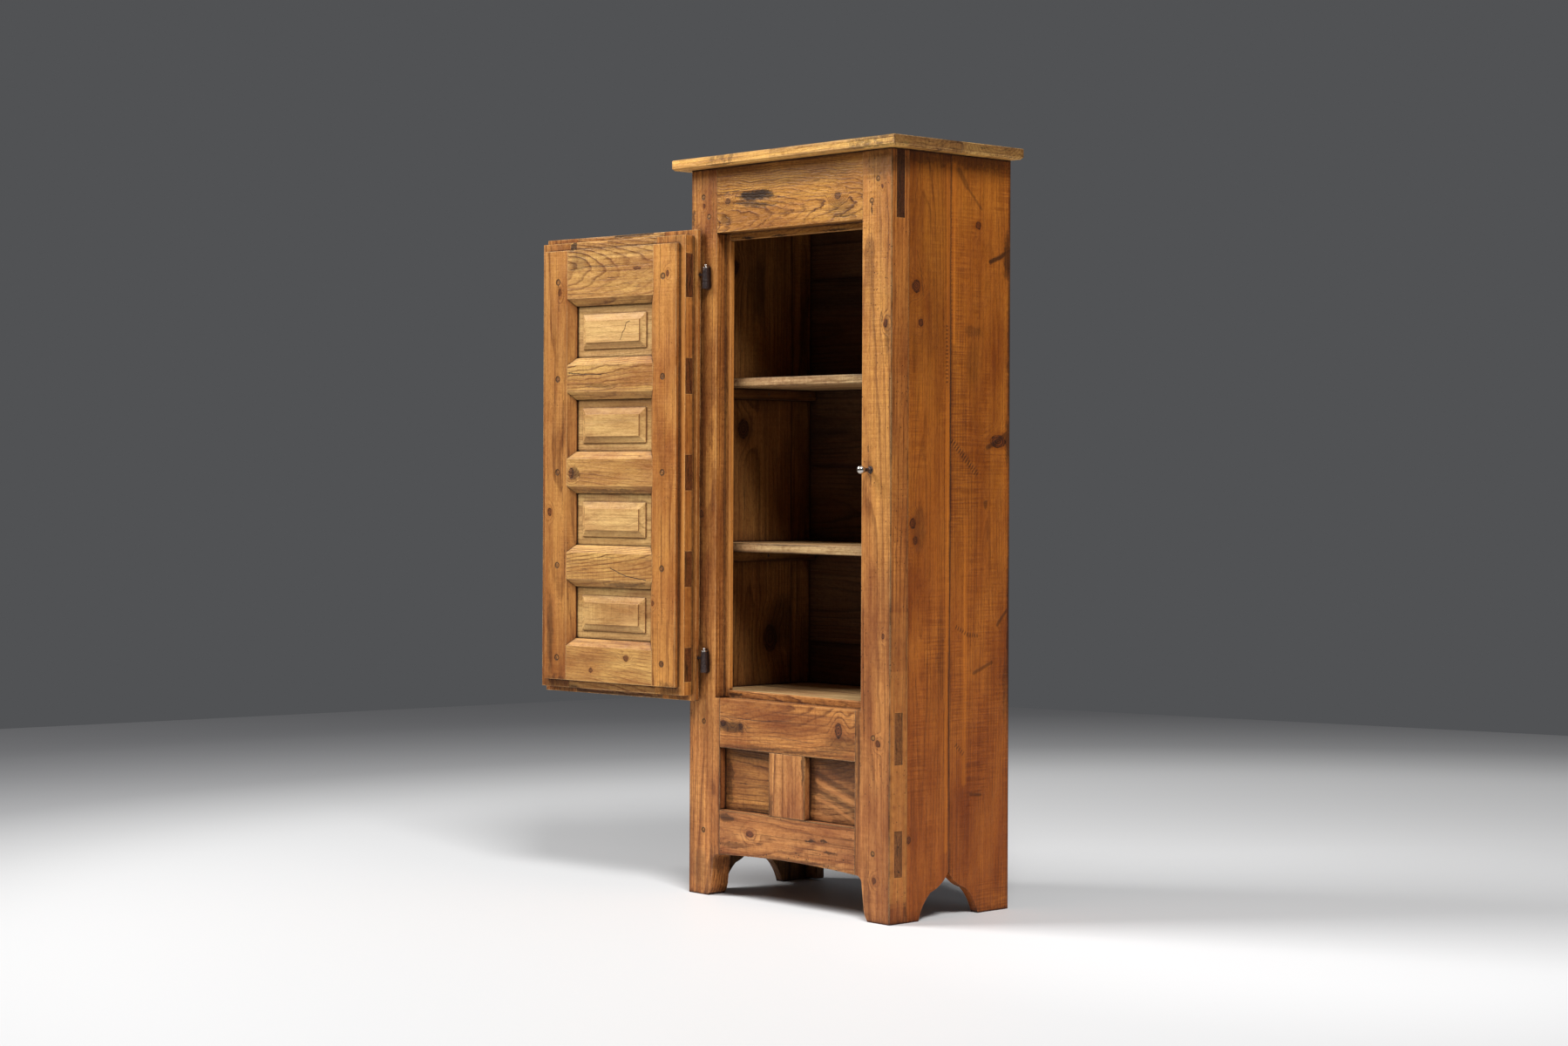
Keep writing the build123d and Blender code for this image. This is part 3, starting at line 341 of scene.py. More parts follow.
# places drawn golden: rubbed wear, and where a stroke on one post stands for it, painted light
golden = add(pine, "Mix", TINT, {0: 1.0, 6: given["Early"], 7: (1.42, 1.38, 1.25, 1.0)})
golden = add(pine, "Mix", TINT, {0: 0.7, 6: golden, 7: streak_tint})
colour = add(pine, "Mix", BLEND, {0: given["Rubbed and lit"], 6: colour, 7: golden})
print("nodes with wear:", len(pine.nodes))

# %% The pine pattern: knots, stains and end grain
# a knot: a reddish halo, a broken dark rim and a brown core with its own fine rings
halo = add(pine, "MapRange", SMOOTH, {0: given["Knot"], 1: 0.8, 2: 2.2, 3: 0.70, 4: 0.0})
colour = add(pine, "Mix", BLEND, {0: halo, 6: colour, 7: given["Deep"]})
core = add(pine, "MapRange", SMOOTH, {0: given["Knot"], 1: 0.80, 2: 1.10, 3: 1.0, 4: 0.0})
core_ring = add(pine, "Math", PINGPONG, {0: given["Knot"], 1: 0.18})
core_ring = add(pine, "MapRange", {}, {0: core_ring, 1: 0.0, 2: 0.18})
core_colour = add(pine, "Mix", BLEND, {0: core_ring, 6: paint("2c1713"), 7: given["Deep"]})
colour = add(pine, "Mix", BLEND, {0: core, 6: colour, 7: core_colour})
rim = add(pine, "Math", COMPARE, {0: given["Knot"], 1: 1.0, 2: 0.13})
rim_here = add(pine, "MapRange", {}, {0: spots, 1: 0.40, 2: 0.55, 3: 0.15, 4: 0.85})
rim = add(pine, "Math", TIMES, {0: rim, 1: rim_here})
colour = add(pine, "Mix", BLEND, {0: rim, 6: colour, 7: paint("1d0d06")})
# stains, some of them painted shade, and end grain with its checks, the short splits between the rings
colour = add(pine, "Mix", BLEND, {0: given["Stain and shade"], 6: colour, 7: paint("22120a")})
across_end = add(pine, "VectorMath", TIMES_PLUS, {0: warped, 1: (1.0, 18.0, 300.0), 2: seed})
checks = add(pine, "TexNoise", {}, {"Vector": across_end, "Scale": 1.0, "Detail": 2.0})
checks = add(pine, "MapRange", SMOOTH, {0: checks, 1: 0.54, 2: 0.64, 3: 0.0, 4: 0.85})
end_cut = add(pine, "Mix", TINT, {0: 1.0, 6: given["End tone"], 7: spot_tint})
end_cut = add(pine, "Mix", BLEND, {0: checks, 6: end_cut, 7: paint("180b05")})
colour = add(pine, "Mix", BLEND, {0: given["End grain"], 6: colour, 7: end_cut})
# worm holes are drawn 3 mm wide, though real ones are 2 mm, so that they show
cells = add(pine, "TexVoronoi", {}, {"Vector": given["Place"], "Scale": 95.0})
hole = add(pine, "Math", {"operation": "LESS_THAN"}, {0: cells.outputs["Distance"], 1: 0.15})
infested = add(pine, "Math", GREATER, {0: soft_noise(9.0, 14.0, 2.0), 1: 0.56})
for limit in (infested, given["Worm"]):
    hole = add(pine, "Math", TIMES, {0: hole, 1: limit})
colour = add(pine, "Mix", BLEND, {0: hole, 6: colour, 7: paint("1a0d07")})
print("nodes with all colours:", len(pine.nodes))

# %% The pine pattern: surface
# planed pine is worn into low ridges, because the pale early wood wears away first, and it
# has shallow dents a finger wide; cracks, dashes, holes and stains, painted shade among them,
# lie deeper than the rest
height = add(pine, "Math", TIMES, {0: late, 1: 0.40})
dents = soft_noise(26.0, 55.0, 4.0, 0.6)
for part, weight in ((dash, -0.9), (line, -0.5), (fibre, 0.35), (dents, 3.0), (spots, 0.9),
                     (sawn, 0.4), (rim, -0.6), (hole, -1.2), (given["Stain and shade"], -0.8)):
    height = add(pine, "Math", TIMES_PLUS, {0: part, 1: weight, 2: height})
roughness = add(pine, "MapRange", {}, {0: dents, 1: 0.3, 2: 0.7, 3: 0.40, 4: 0.60})
roughness = add(pine, "Math", TIMES_PLUS, {0: dirt_and_shade, 1: 0.25, 2: roughness})
result = pine.nodes.new("NodeGroupOutput")
for name, node in (("Colour", colour), ("Roughness", roughness), ("Height", height)):
    pine.links.new(next(out for out in node.outputs if out.enabled), result.inputs[name])
print("nodes in the pine pattern:", len(pine.nodes))

# %% [markdown]
# Each board now gets a material of its own. It says which way the grain runs, how the
# tree's heart lay, and where its marks are. A knot or a stain is a small ellipse given by
# its place along and across the board, and a few stains are painted shade. A stroke is a
# crack, the track of a tool or a golden strip, which is rubbed wear and on one post painted
# light: a broken line with a width. The distance to the nearest edge comes from the board's
# own extents: of the three distances to its faces the middle one is the distance to an arris.

# %% Tones and marks
TONES = {
    # early wood, late wood, deep patches
    "front": ("c98a4a", "592d16", "874d27"),
    "gold front": ("cc9148", "643915", "8f5b28"),
    "low front": ("cb8c57", "5f321f", "8c5031"),
    "door": ("d0a061", "6c401f", "985f30"),
    "hinge stile": ("ca8b4a", "6a3916", "985826"),
    "stile": ("bf8448", "653615", "905325"),
    "field": ("dbb076", "875d32", "aa7a46"),
    "top": ("e8b469", "855427", "b67e40"),
    "side": ("af6521", "60310b", "83410e"),
    "panel": ("b67c46", "542f16", "704023"),
    "dark panel": ("a36e44", "502d18", "6a3e27"),
    "inner": ("8b5e34", "3a2311", "523219"),
    "back": ("5b3e2a", "251912", "33241a"),
    "raw": ("c6a47d", "7a5933", "95724f"),
    "peg": ("b47c42", "6a3c1a", "7a4a22"),
}
COLUMNS = {"X": 0, "Y": 1, "Z": 2}


def nearest(tree, place, spots):
    """Distance to the nearest of some ellipses, in radii: |(p - c) / r|. An ellipse is its
    place along and across the board and its radii along and across, in mm."""
    best = None
    for spot in spots:
        along, across, half_long, half_wide = [v / 1000 for v in spot[:4]]
        away = add(tree, "VectorMath", MINUS, {0: place, 1: (along, across, 0.0)})
        away = add(tree, "VectorMath", TIMES, {0: away, 1: (1 / half_long, 1 / half_wide, 0.0)})
        away = add(tree, "VectorMath", LENGTH, {0: away}).outputs["Value"]
        best = away if best is None else add(tree, "Math", SMALLEST, {0: best, 1: away})
    return best


def stroke(tree, flat, start, end, ticks):
    """Distance to a line from start to end: |p - s - t u|, with t = (p - s).u held within it.
    Where ticks is a spacing, the distance grows between the ticks of a saw or a plane."""
    start, end = np.array((*start, 0.0)) / 1000, np.array((*end, 0.0)) / 1000
    length = float(np.linalg.norm(end - start))
    way = (end - start) / length
    away = add(tree, "VectorMath", MINUS, {0: flat, 1: start})
    t = add(tree, "VectorMath", DOT, {0: away, 1: way}).outputs["Value"]
    held = add(tree, "Clamp", {}, {0: t, 1: 0.0, 2: length})
    foot = add(tree, "VectorMath", SCALE, {0: way, "Scale": held})
    away = add(tree, "VectorMath", MINUS, {0: away, 1: foot})
    away = add(tree, "VectorMath", LENGTH, {0: away}).outputs["Value"]
    if ticks:
        between = add(tree, "Math", PINGPONG, {0: t, 1: ticks / 1000 / 2})
        between = add(tree, "Math", GREATER, {0: between, 1: ticks / 1000 * 0.22})
        away = add(tree, "Math", {"operation": "ADD"}, {0: away, 1: between})
    return away


print("tones of pine:", ", ".join(TONES))


# %% A board's marks
# the pegs that pin each tenon: height from the floor, then distance from the middle, in mm
FRAME_PEGS = ((1659, 297), (1611, 277), (412, 288), (153.5, 288))
DOOR_PEGS = ((546, 181), (773.5, 181), (1003, 181), (1232.5, 181), (1472, 181))


def about(pegs, side, radius):
    """The places of the pegs on one side, each with the radius of the dark ring about it."""
    return [(z, side * x, radius, radius) for z, x in pegs]


def marked(tree, place, knots, pegs, stains_and_shade, strokes):
    """What a board's marks put into the pine's sockets: the distance to the nearest knot, and
    at each spot the strongest of its stains and painted shade, and the strongest of its rubbed
    places and painted light."""
    sockets, dark, rubbed_and_lit = {}, [], []
    if knots or stains_and_shade or strokes:
        # outlines are ragged, because the place is moved about by noise
        crumble = add(tree, "TexNoise", {},
                      {"Vector": place, "Scale": 60.0, "Detail": 4.0, "Roughness": 0.65})
        crumble = add(tree, "VectorMath", MINUS, {0: crumble.outputs["Color"], 1: HALF})
    if knots:
        torn = add(tree, "VectorMath", TIMES_PLUS, {0: crumble, 1: (0.008, 0.008, 0.0), 2: place})
        sockets["Knot"] = nearest(tree, torn, knots)
    if pegs:
        ring_about = add(tree, "Math", COMPARE, {0: nearest(tree, place, pegs), 1: 1.0, 2: 0.22})
        dark.append(add(tree, "Math", TIMES, {0: ring_about, 1: 0.72}))
    if stains_and_shade:
        torn = add(tree, "VectorMath", TIMES_PLUS, {0: crumble, 1: (0.060, 0.016, 0.0), 2: place})
        for strength in sorted({stain[4] for stain in stains_and_shade}):
            away = nearest(tree, torn, [stain for stain in stains_and_shade if stain[4] == strength])
            dark.append(add(tree, "MapRange", SMOOTH, {0: away, 1: 0.50, 2: 1.20, 3: strength, 4: 0.0}))
    if strokes:
        torn = add(tree, "VectorMath", TIMES_PLUS, {0: crumble, 1: (0.006, 0.006, 0.0), 2: place})
        flat = add(tree, "VectorMath", TIMES, {0: torn, 1: (1.0, 1.0, 0.0)})
    for width, strength, ticks, *corners in strokes:
        # full strength within a fifth of the width, and gone at two thirds; below 0 it is drawn golden,
        # as rubbed wear and on one post as painted light
        for start, end in zip(corners, corners[1:]):
            away = stroke(tree, flat, start, end, ticks)
            track = add(tree, "MapRange", SMOOTH,
                        {0: away, 1: width / 5000, 2: width / 1500, 3: abs(strength), 4: 0.0})
            (rubbed_and_lit if strength < 0 else dark).append(track)
    for name, marks in (("Stain and shade", dark), ("Rubbed and lit", rubbed_and_lit)):
        for mark in marks:
            if name in sockets:
                mark = add(tree, "Math", LARGEST, {0: sockets[name], 1: mark})
            sockets[name] = mark
    return sockets


print("pegs in the frame and in the door:", 2 * len(FRAME_PEGS), 2 * len(DOOR_PEGS))


# %% A board's material
def turned_to(tree, normal, axis, strength):
    """The strength where the face is turned along an axis, X, Y or Z, and 0 elsewhere."""
    facing = add(tree, "VectorMath", DOT, {0: normal, 1: [float(a == axis) for a in "XYZ"]})
    facing = add(tree, "Math", ABSOLUTE, {0: facing.outputs["Value"]})
    return add(tree, "MapRange", {}, {0: facing, 1: 0.75, 2: 0.95, 3: 0.0, 4: strength})


def to_arris(tree, place, low, high):
    """The middle one of the three distances to a box's faces: half its size - |p - its middle|."""
    away = add(tree, "VectorMath", MINUS, {0: place, 1: (low + high) / 2})
    away = add(tree, "VectorMath", ABSOLUTE, {0: away})
    away = add(tree, "VectorMath", MINUS, {0: (high - low) / 2, 1: away})
    along, across, deep = add(tree, "SeparateXYZ", {}, {0: away}).outputs
    lesser = add(tree, "Math", SMALLEST, {0: along, 1: across})
    greater = add(tree, "Math", LARGEST, {0: along, 1: across})
    greater = add(tree, "Math", SMALLEST, {0: greater, 1: deep})
    return add(tree, "Math", LARGEST, {0: lesser, 1: greater})


def board(node, axes, tone, seed, heart=(0.0, 0.07), lean=0.02, ring=8.5, warp=20.0, ripple=6.0,
          bulge=14.0, figure=0.62, streaks=0.65, rub_and_highlight=0.5, ends=0.8, end_tone="7c4c2a", worm=0.0,
          sawn=0.2, sideways_shade=0.0, ruddy=0.0, knots=(), pegs=(), stains_and_shade=(), strokes=(), on_door=False):
    """Give a board its pine. The axes name the ways along, across and into it. The heart line
    is given in metres from the board's middle, rings and marks in mm, the rest as strengths."""
    points = places(node, on_door)[:, [COLUMNS[a] for a in axes]]
    low, high = points.min(0), points.max(0)
    middle = (low + high) / 2
    material = bpy.data.materials.new("pine_" + node)
    material.use_nodes = True
    tree = material.node_tree

    # where this spot is, from the middle of the front, with a door turned shut
    turn = (0.0, 0.0, DOOR_SWING if on_door else 0.0)
    shift = shut(-DATUM[None])[0] if on_door else -DATUM
    here = add(tree, "TexCoord").outputs
    place = add(tree, "Mapping", {}, {"Vector": here["Object"], "Location": shift, "Rotation": turn})
    normal = add(tree, "Mapping", {"vector_type": "NORMAL"}, {"Vector": here["Normal"], "Rotation": turn})
    split = add(tree, "SeparateXYZ", {}, {0: place}).outputs
    place = add(tree, "CombineXYZ", {}, {i: split[COLUMNS[a]] for i, a in enumerate(axes)})
    low_down = add(tree, "MapRange", {}, {0: split["Z"], 1: 1.0, 2: 0.25, 3: 0.0, 4: ruddy})

    early, late, deep = [paint(value) for value in TONES[tone]]
    wood = add(tree, "Group", {"node_tree": pine}, {
        "Place": place, "Seed": float(seed), "Heart across": float(middle[1] + heart[0]),
        "Heart depth": float(low[2] + heart[1] - middle[0] * lean), "Lean": lean, "Ring": ring / 1000,
        "Warp": warp / 1000, "Ripple": ripple / 1000, "Bulge": bulge / 1000, "Figure": figure,
        "Streaks": streaks, "Rub and highlight": rub_and_highlight, "Worm": worm, "Sawn": sawn, "Ruddy": low_down,
        # the flank tint is painted shade on faces turned across the board
        "Arris": to_arris(tree, place, low, high), "Sideways shade": turned_to(tree, normal, axes[1], sideways_shade),
        "End grain": turned_to(tree, normal, axes[0], ends), "End tone": paint(end_tone),
        "Early": early, "Late": late, "Deep": deep, **marked(tree, place, knots, pegs, stains_and_shade, strokes)})
    bump = add(tree, "Bump", {}, {"Height": wood.outputs["Height"], "Strength": 0.9, "Distance": 0.001})
    shader = tree.nodes["Principled BSDF"]
    shader.inputs["Specular IOR Level"].default_value = 0.25      # wax on wood, not varnish
    for output, socket in ((wood.outputs["Colour"], "Base Color"), (wood.outputs["Roughness"], "Roughness"),
                           (bump.outputs["Normal"], "Normal")):
        tree.links.new(output, shader.inputs[socket])
    nodes[node].data.materials.clear()
    nodes[node].data.materials.append(material)


print("boards to dress:", sum(n.startswith(("side", "top", "back", "door", "front", "shelf")) for n in nodes))

# %% [markdown]
# The front frame is the palest old wood: two posts, three rails and a short muntin, with
# grain that runs the length of each piece. The top rail has a burn and several knots.

# %% The front frame
board("front_post_left", "ZXY", "front", 1, heart=(0.03, 0.10), lean=0.012, worm=0.3, sideways_shade=0.35,
      ruddy=0.6, pegs=about(FRAME_PEGS, -1, 5.6), knots=[(905, -300, 9, 6), (1638, -295, 5, 4)],
      stains_and_shade=[(77, -252, 20, 8, 0.4), (1611, -333, 16, 6, 0.7), (60, -300, 50, 30, 0.35)],
      strokes=[(12.0, -0.45, 0, (1548, -231), (498, -231)), (1.6, 0.5, 0, (1724, -262), (1300, -263)),
               (1.5, 0.6, 0, (350, -233), (200, -234))])
board("front_post_right", "ZXY", "front", 2, heart=(-0.02, 0.09), lean=0.018, figure=0.56, streaks=0.5,
      worm=0.6, sideways_shade=0.90, ruddy=0.6, pegs=about(FRAME_PEGS, 1, 5.6),
      knots=[(1336, 322, 9, 6), (400, 303, 8, 7), (640, 318, 6, 4), (94, 293, 7, 6), (1641, 309, 4, 3)],
      stains_and_shade=[(990, 277, 18, 4, 0.5), (1054, 268, 8, 3, 0.5), (1352, 310, 16, 3, 0.5),
              # the patch at 1690 mm darkens the post just under the top
              (1690, 300, 36, 60, 0.45), (1594, 279, 10, 4, 0.8), (1310, 328, 50, 8, 0.4),
              (380, 240, 150, 8, 0.5)],
      # painted light: the three golden strokes down the post's outer edge, strongest near the floor, stand
      # for the floor's bounce lighting its side
      strokes=[(9.0, -0.15, 0, (690, 344), (40, 344)), (9.0, -0.28, 0, (560, 344), (50, 344)),
               (9.0, -0.4, 0, (450, 344), (60, 344)), (1.5, 0.5, 0, (1650, 322), (1240, 325)),
               (1.4, 0.5, 0, (700, 255), (420, 258))])
board("top_rail", "XZY", "gold front", 3, heart=(-0.04, 0.06), lean=0.10, ring=5.0, warp=40, ripple=15,
      bulge=30, figure=0.95, worm=0.5, ends=0.95, end_tone="41200f",
      knots=[(-210, 1642, 8, 6), (166, 1630, 10, 7)],
      stains_and_shade=[(-128, 1650, 46, 15, 0.95), (-92, 1652, 40, 13, 0.95), (-70, 1646, 30, 9, 0.85),
              (-150, 1636, 50, 5, 0.7), (-110, 1630, 52, 6, 0.7), (-75, 1624, 40, 4, 0.6),
              (-169, 1556, 26, 4, 0.9), (-60, 1556, 30, 3, 0.8), (190, 1582, 40, 3, 0.7),
              # the band at 1690 mm darkens the rail's upper edge, just under the top
              (-215, 1600, 26, 14, 0.45), (40, 1690, 240, 26, 0.35), (180, 1600, 50, 22, 0.35),
              (140, 1557, 60, 3, 0.7)],
      strokes=[(1.6, 0.7, 0, (-230, 1664), (-120, 1668)), (1.4, 0.6, 0, (-60, 1640), (60, 1642))])
board("middle_rail", "XZY", "front", 4, heart=(0.05, 0.05), lean=0.12, ring=8.0, warp=34, ripple=9,
      figure=0.6, ruddy=0.5, end_tone="70421f",
      knots=[(-218, 412, 9, 7), (-156, 408, 7, 6), (176, 420, 10, 16)],
      stains_and_shade=[(-190, 405, 60, 16, 0.75), (-205, 478, 30, 6, 0.8), (196, 392, 70, 18, 0.45),
              (150, 372, 60, 9, 0.4), (0, 362, 220, 5, 0.45)],
      strokes=[(1.6, 0.6, 0, (-225, 430), (-100, 424), (20, 432)), (1.5, 0.5, 0, (-60, 392), (90, 386))])
board("bottom_rail", "XZY", "low front", 5, heart=(0.0, 0.05), lean=0.06, warp=35, ripple=12, figure=0.6,
      worm=1.0, end_tone="70421f", knots=[(-123, 158, 12, 7)],
      stains_and_shade=[(-205, 190, 40, 10, 0.7), (85, 162, 20, 3, 0.8), (129, 166, 16, 3, 0.8),
              (150, 142, 30, 3, 0.7), (-180, 128, 60, 8, 0.45), (40, 110, 160, 6, 0.45)])
board("lower_muntin", "ZXY", "low front", 6, heart=(-0.01, 0.09), lean=0.02,
      stains_and_shade=[(330, 58, 60, 5, 0.7), (230, -50, 30, 8, 0.5)])
board("lower_panel_left", "XZY", "panel", 7, heart=(0.01, 0.05), lean=0.03,
      # the first two stains darken the panel along its top, under the middle rail, and down its left edge,
      # beside the post
      stains_and_shade=[(-140, 350, 110, 26, 0.6), (-215, 280, 14, 80, 0.5), (-130, 215, 90, 10, 0.4)])
board("lower_panel_right", "XZY", "dark panel", 8, heart=(0.11, 0.03), lean=0.45, ring=11, warp=60,
      # its two stains darken the panel along its top, under the middle rail, and down its left edge, beside
      # the muntin
      ripple=10, figure=0.55, stains_and_shade=[(140, 352, 110, 16, 0.6), (75, 300, 12, 60, 0.45)],
      strokes=[(44.0, 0.45, 0, (120, 352), (175, 322), (240, 312)),
               (15.0, 0.5, 0, (84, 318), (130, 300), (236, 268)),
               (11.0, 0.45, 0, (80, 280), (140, 262), (236, 232)),
               (12.0, -0.75, 0, (84, 300), (135, 281), (236, 249)),
               (9.0, -0.7, 0, (76, 262), (140, 245), (220, 212)), (16.0, -0.5, 0, (70, 222), (130, 216))])
print("front frame boards dressed")

# %% [markdown]
# The sides are drawn redder than the front. The saw and the plane left their tracks on
# them as rows of short ticks. The top is the palest, and inside the wood is drawn almost
# black, except for the newer shelves.

# %% Sides, top and inside
SIDE = {"ruddy": 1.0, "warp": 34, "streaks": 0.42, "rub_and_highlight": 0.1}
board("side_plank_front_right", "ZYX", "side", 11, heart=(-0.02, 0.030), lean=0.050, ring=8, bulge=26,
      figure=0.40, sawn=0.40, **SIDE,
      knots=[(1421, 78, 13, 12), (1556, 48, 9, 6), (891, 69, 11, 9), (852, 77, 9, 7), (1340, 92, 8, 7),
             (185, 60, 8, 7)],
      # the stains at 1716 mm are painted shadow under the top's overhang, and the wide one at 1480 mm is
      # painted shade, the side darker towards the top
      stains_and_shade=[(1716, 116, 22, 100, 0.5), (1480, 116, 330, 150, 0.16), (1280, 74, 60, 10, 0.3),
              (880, 90, 60, 22, 0.35), (600, 160, 120, 14, 0.25)],
      strokes=[(14.0, -0.6, 0, (1700, 179), (900, 180)), (11.0, -0.55, 0, (900, 180), (150, 178)),
               (9.0, 0.6, 9, (1335, 176), (1205, 177)),
               (3.4, 0.75, 0, (1700, 46), (1100, 47), (500, 45), (60, 46)),
               (3.0, 0.5, 0, (1500, 80), (1460, 92), (1400, 100)), (2.0, 0.5, 0, (700, 56), (500, 58))])
board("side_plank_rear_right", "ZYX", "side", 12, heart=(0.02, 0.05), lean=0.03, ring=7.5, bulge=24,
      figure=0.34, sawn=0.50, **SIDE, knots=[(1077, 345, 13, 24), (1569, 278, 9, 8)],
      # the stain at 1716 mm is painted shadow under the top's overhang
      stains_and_shade=[(1716, 286, 22, 130, 0.5), (1500, 376, 60, 16, 0.75), (1080, 380, 60, 12, 0.7),
              (1326, 262, 14, 34, 0.35), (937, 305, 8, 8, 0.5), (1300, 383, 420, 7, 0.6),
              (640, 383, 300, 6, 0.6), (1250, 262, 60, 26, 0.25), (500, 372, 90, 10, 0.4)],
      strokes=[(12.0, -0.6, 0, (1700, 198), (1300, 199)), (16.0, -0.4, 0, (900, 240), (300, 236)),
               (16.0, 0.45, 0, (1690, 214), (1655, 240)), (7.0, 0.40, 0, (1655, 240), (1606, 288)),
               (12.0, 0.80, 0, (1520, 386), (1500, 350), (1488, 318)),
               (18.0, 0.62, 8, (1075, 194), (1044, 230), (1004, 273)),
               (12.0, 0.62, 0, (1098, 378), (1076, 342), (1062, 310)),
               (11.0, 0.55, 8, (655, 210), (636, 247), (632, 280)),
               (9.0, 0.55, 0, (690, 380), (672, 360), (655, 345)),
               (9.0, 0.5, 0, (548, 268), (560, 300), (570, 326)), (12.0, 0.5, 8, (388, 210), (366, 234)),
               (9.0, 0.5, 0, (272, 258), (270, 290)), (10.0, 0.4, 8, (1335, 184), (1120, 185))])
board("side_plank_front_left", "ZYX", "inner", 13, heart=(0.0, 0.10), lean=0.012, warp=30, rub_and_highlight=0.0,
      knots=[(1110, 150, 22, 16), (1500, 120, 16, 12), (600, 240, 30, 20)],
      stains_and_shade=[(640, 280, 70, 60, 0.6), (1450, 200, 90, 20, 0.6)])
board("side_plank_rear_left", "ZYX", "inner", 14, rub_and_highlight=0.0)
board("top_plank_front", "XYZ", "top", 15, heart=(0.0, 0.08), lean=0.01, rub_and_highlight=0.9, ends=0.75,
      end_tone="6e4a2a",
      stains_and_shade=[(364, 120, 16, 12, 0.7), (300, -28, 80, 3, 0.5), (-200, -28, 60, 3, 0.5)],
      strokes=[(18.0, -0.30, 0, (-372, -32), (-40, -32))])
board("top_plank_rear", "XYZ", "top", 16, heart=(0.02, 0.07), lean=0.01, rub_and_highlight=0.7, ends=0.75,
      end_tone="6e4a2a")
for number in range(1, 8):
    board(f"back_plank_{number}", "XZY", "back", 20 + number, lean=0.03, rub_and_highlight=0.0)
for number, name in enumerate(("shelf_upper", "shelf_lower", "floor_board_front", "floor_board_rear")):
    board(name, "XYZ", "raw", 30 + number, lean=0.02, figure=0.6, rub_and_highlight=0.3, ends=0.3)
for number, side in enumerate(("left", "right")):
    board(f"foot_block_{side}", "ZXY", "inner", 36 + number, rub_and_highlight=0.0)
    for kind in ("shelf_cleat_upper", "shelf_cleat_lower", "floor_cleat"):
        board(f"{kind}_{side}", "YZX", "inner", 40 + number, rub_and_highlight=0.1)
print("sides, top and inside dressed")

# %% [markdown]
# The door's stiles and rails are honey-coloured and its raised fields are the palest wood
# of all, rubbed clean by cloths. Old cracks run across a field and along two rails.

# %% The door
STILE = {"end_tone": "a0683a", "streaks": 0.42, "rub_and_highlight": 0.8, "worm": 0.4, "on_door": True}
RAIL = {"end_tone": "68381a", "ends": 0.95, "on_door": True}
FIELD_CRACK = (1.8, 0.95, 0, (-62, 1369), (-50, 1366), (-44, 1350), (-36, 1341), (-30, 1325))
board("door_stile_hinge", "ZXY", "hinge stile", 51, heart=(0.02, -0.06), lean=0.012, sideways_shade=0.35,
      pegs=about(DOOR_PEGS, -1, 6.8), **STILE, knots=[(690, -150, 6, 5), (1478, -196, 7, 5)],
      stains_and_shade=[(1555, -225, 26, 30, 0.3), (480, -200, 24, 40, 0.5), (1000, -140, 500, 6, 0.25)],
      strokes=[(12.0, -0.42, 0, (1578, -239), (462, -239)), (1.6, 0.6, 0, (1560, -172), (1300, -170)),
               (1.6, 0.6, 0, (900, -178), (640, -182))])
board("door_stile_free", "ZXY", "stile", 52, heart=(-0.02, -0.07), lean=0.018, sideways_shade=0.60,
      pegs=about(DOOR_PEGS, 1, 6.8), **STILE, knots=[(1446, 174, 9, 4), (905, 208, 9, 6)],
      stains_and_shade=[(600, 205, 110, 12, 0.5), (480, 190, 24, 60, 0.45), (1000, 250, 520, 8, 0.45)],
      strokes=[(2.0, 0.7, 0, (1480, 180), (1400, 178)), (1.6, 0.6, 0, (1180, 160), (900, 163))])
board("door_rail_bottom", "XZY", "door", 53, heart=(-0.10, -0.05), lean=0.10, ring=6.5, warp=26, ripple=5,
      figure=0.75, streaks=0.5, rub_and_highlight=0.8, **RAIL, knots=[(-61, 554, 8, 6), (60, 520, 6, 5)],
      stains_and_shade=[(0, 464, 240, 5, 0.6), (130, 470, 30, 12, 0.7)])
board("door_rail_middle_1", "XZY", "door", 54, heart=(0.085, -0.04), lean=0.12, ring=6.5, warp=30,
      ripple=7, figure=0.7, streaks=0.5, rub_and_highlight=0.8, **RAIL, stains_and_shade=[(-60, 730, 90, 6, 0.5)],
      strokes=[(2.2, 0.9, 0, (-6, 770), (-60, 752), (-128, 744))])
board("door_rail_middle_2", "XZY", "door", 55, heart=(-0.08, -0.03), lean=0.08, ring=7.0, warp=26,
      ripple=5, figure=0.45, streaks=0.5, rub_and_highlight=0.8, **RAIL, knots=[(132, 1000, 9, 12)],
      stains_and_shade=[(120, 1000, 20, 20, 0.6), (0, 957, 120, 5, 0.5)])
board("door_rail_middle_3", "XZY", "door", 56, heart=(0.06, -0.03), lean=0.05, ring=6.0, warp=40,
      ripple=14, figure=0.75, streaks=0.5, rub_and_highlight=0.8, **RAIL, stains_and_shade=[(30, 1212, 70, 5, 0.4)],
      strokes=[(2.2, 0.85, 0, (141, 1246), (90, 1243), (27, 1241))])
board("door_rail_top", "XZY", "door", 57, heart=(0.0, -0.02), lean=0.12, ring=6.5, warp=34, ripple=7,
      bulge=30, figure=0.8, rub_and_highlight=0.9, **RAIL, knots=[(-94, 1495, 12, 4)],
      stains_and_shade=[(110, 1520, 30, 30, 0.3), (0, 1572, 240, 4, 0.3), (136, 1560, 10, 16, 0.8)],
      strokes=[(4.0, -0.9, 0, (235, 1566), (120, 1569), (20, 1565)),
               (3.0, -0.8, 0, (-40, 1572), (-130, 1574)), (5.0, 0.8, 0, (20, 1578), (-110, 1579)),
               (1.6, 0.7, 0, (140, 1500), (60, 1506), (-20, 1503))])
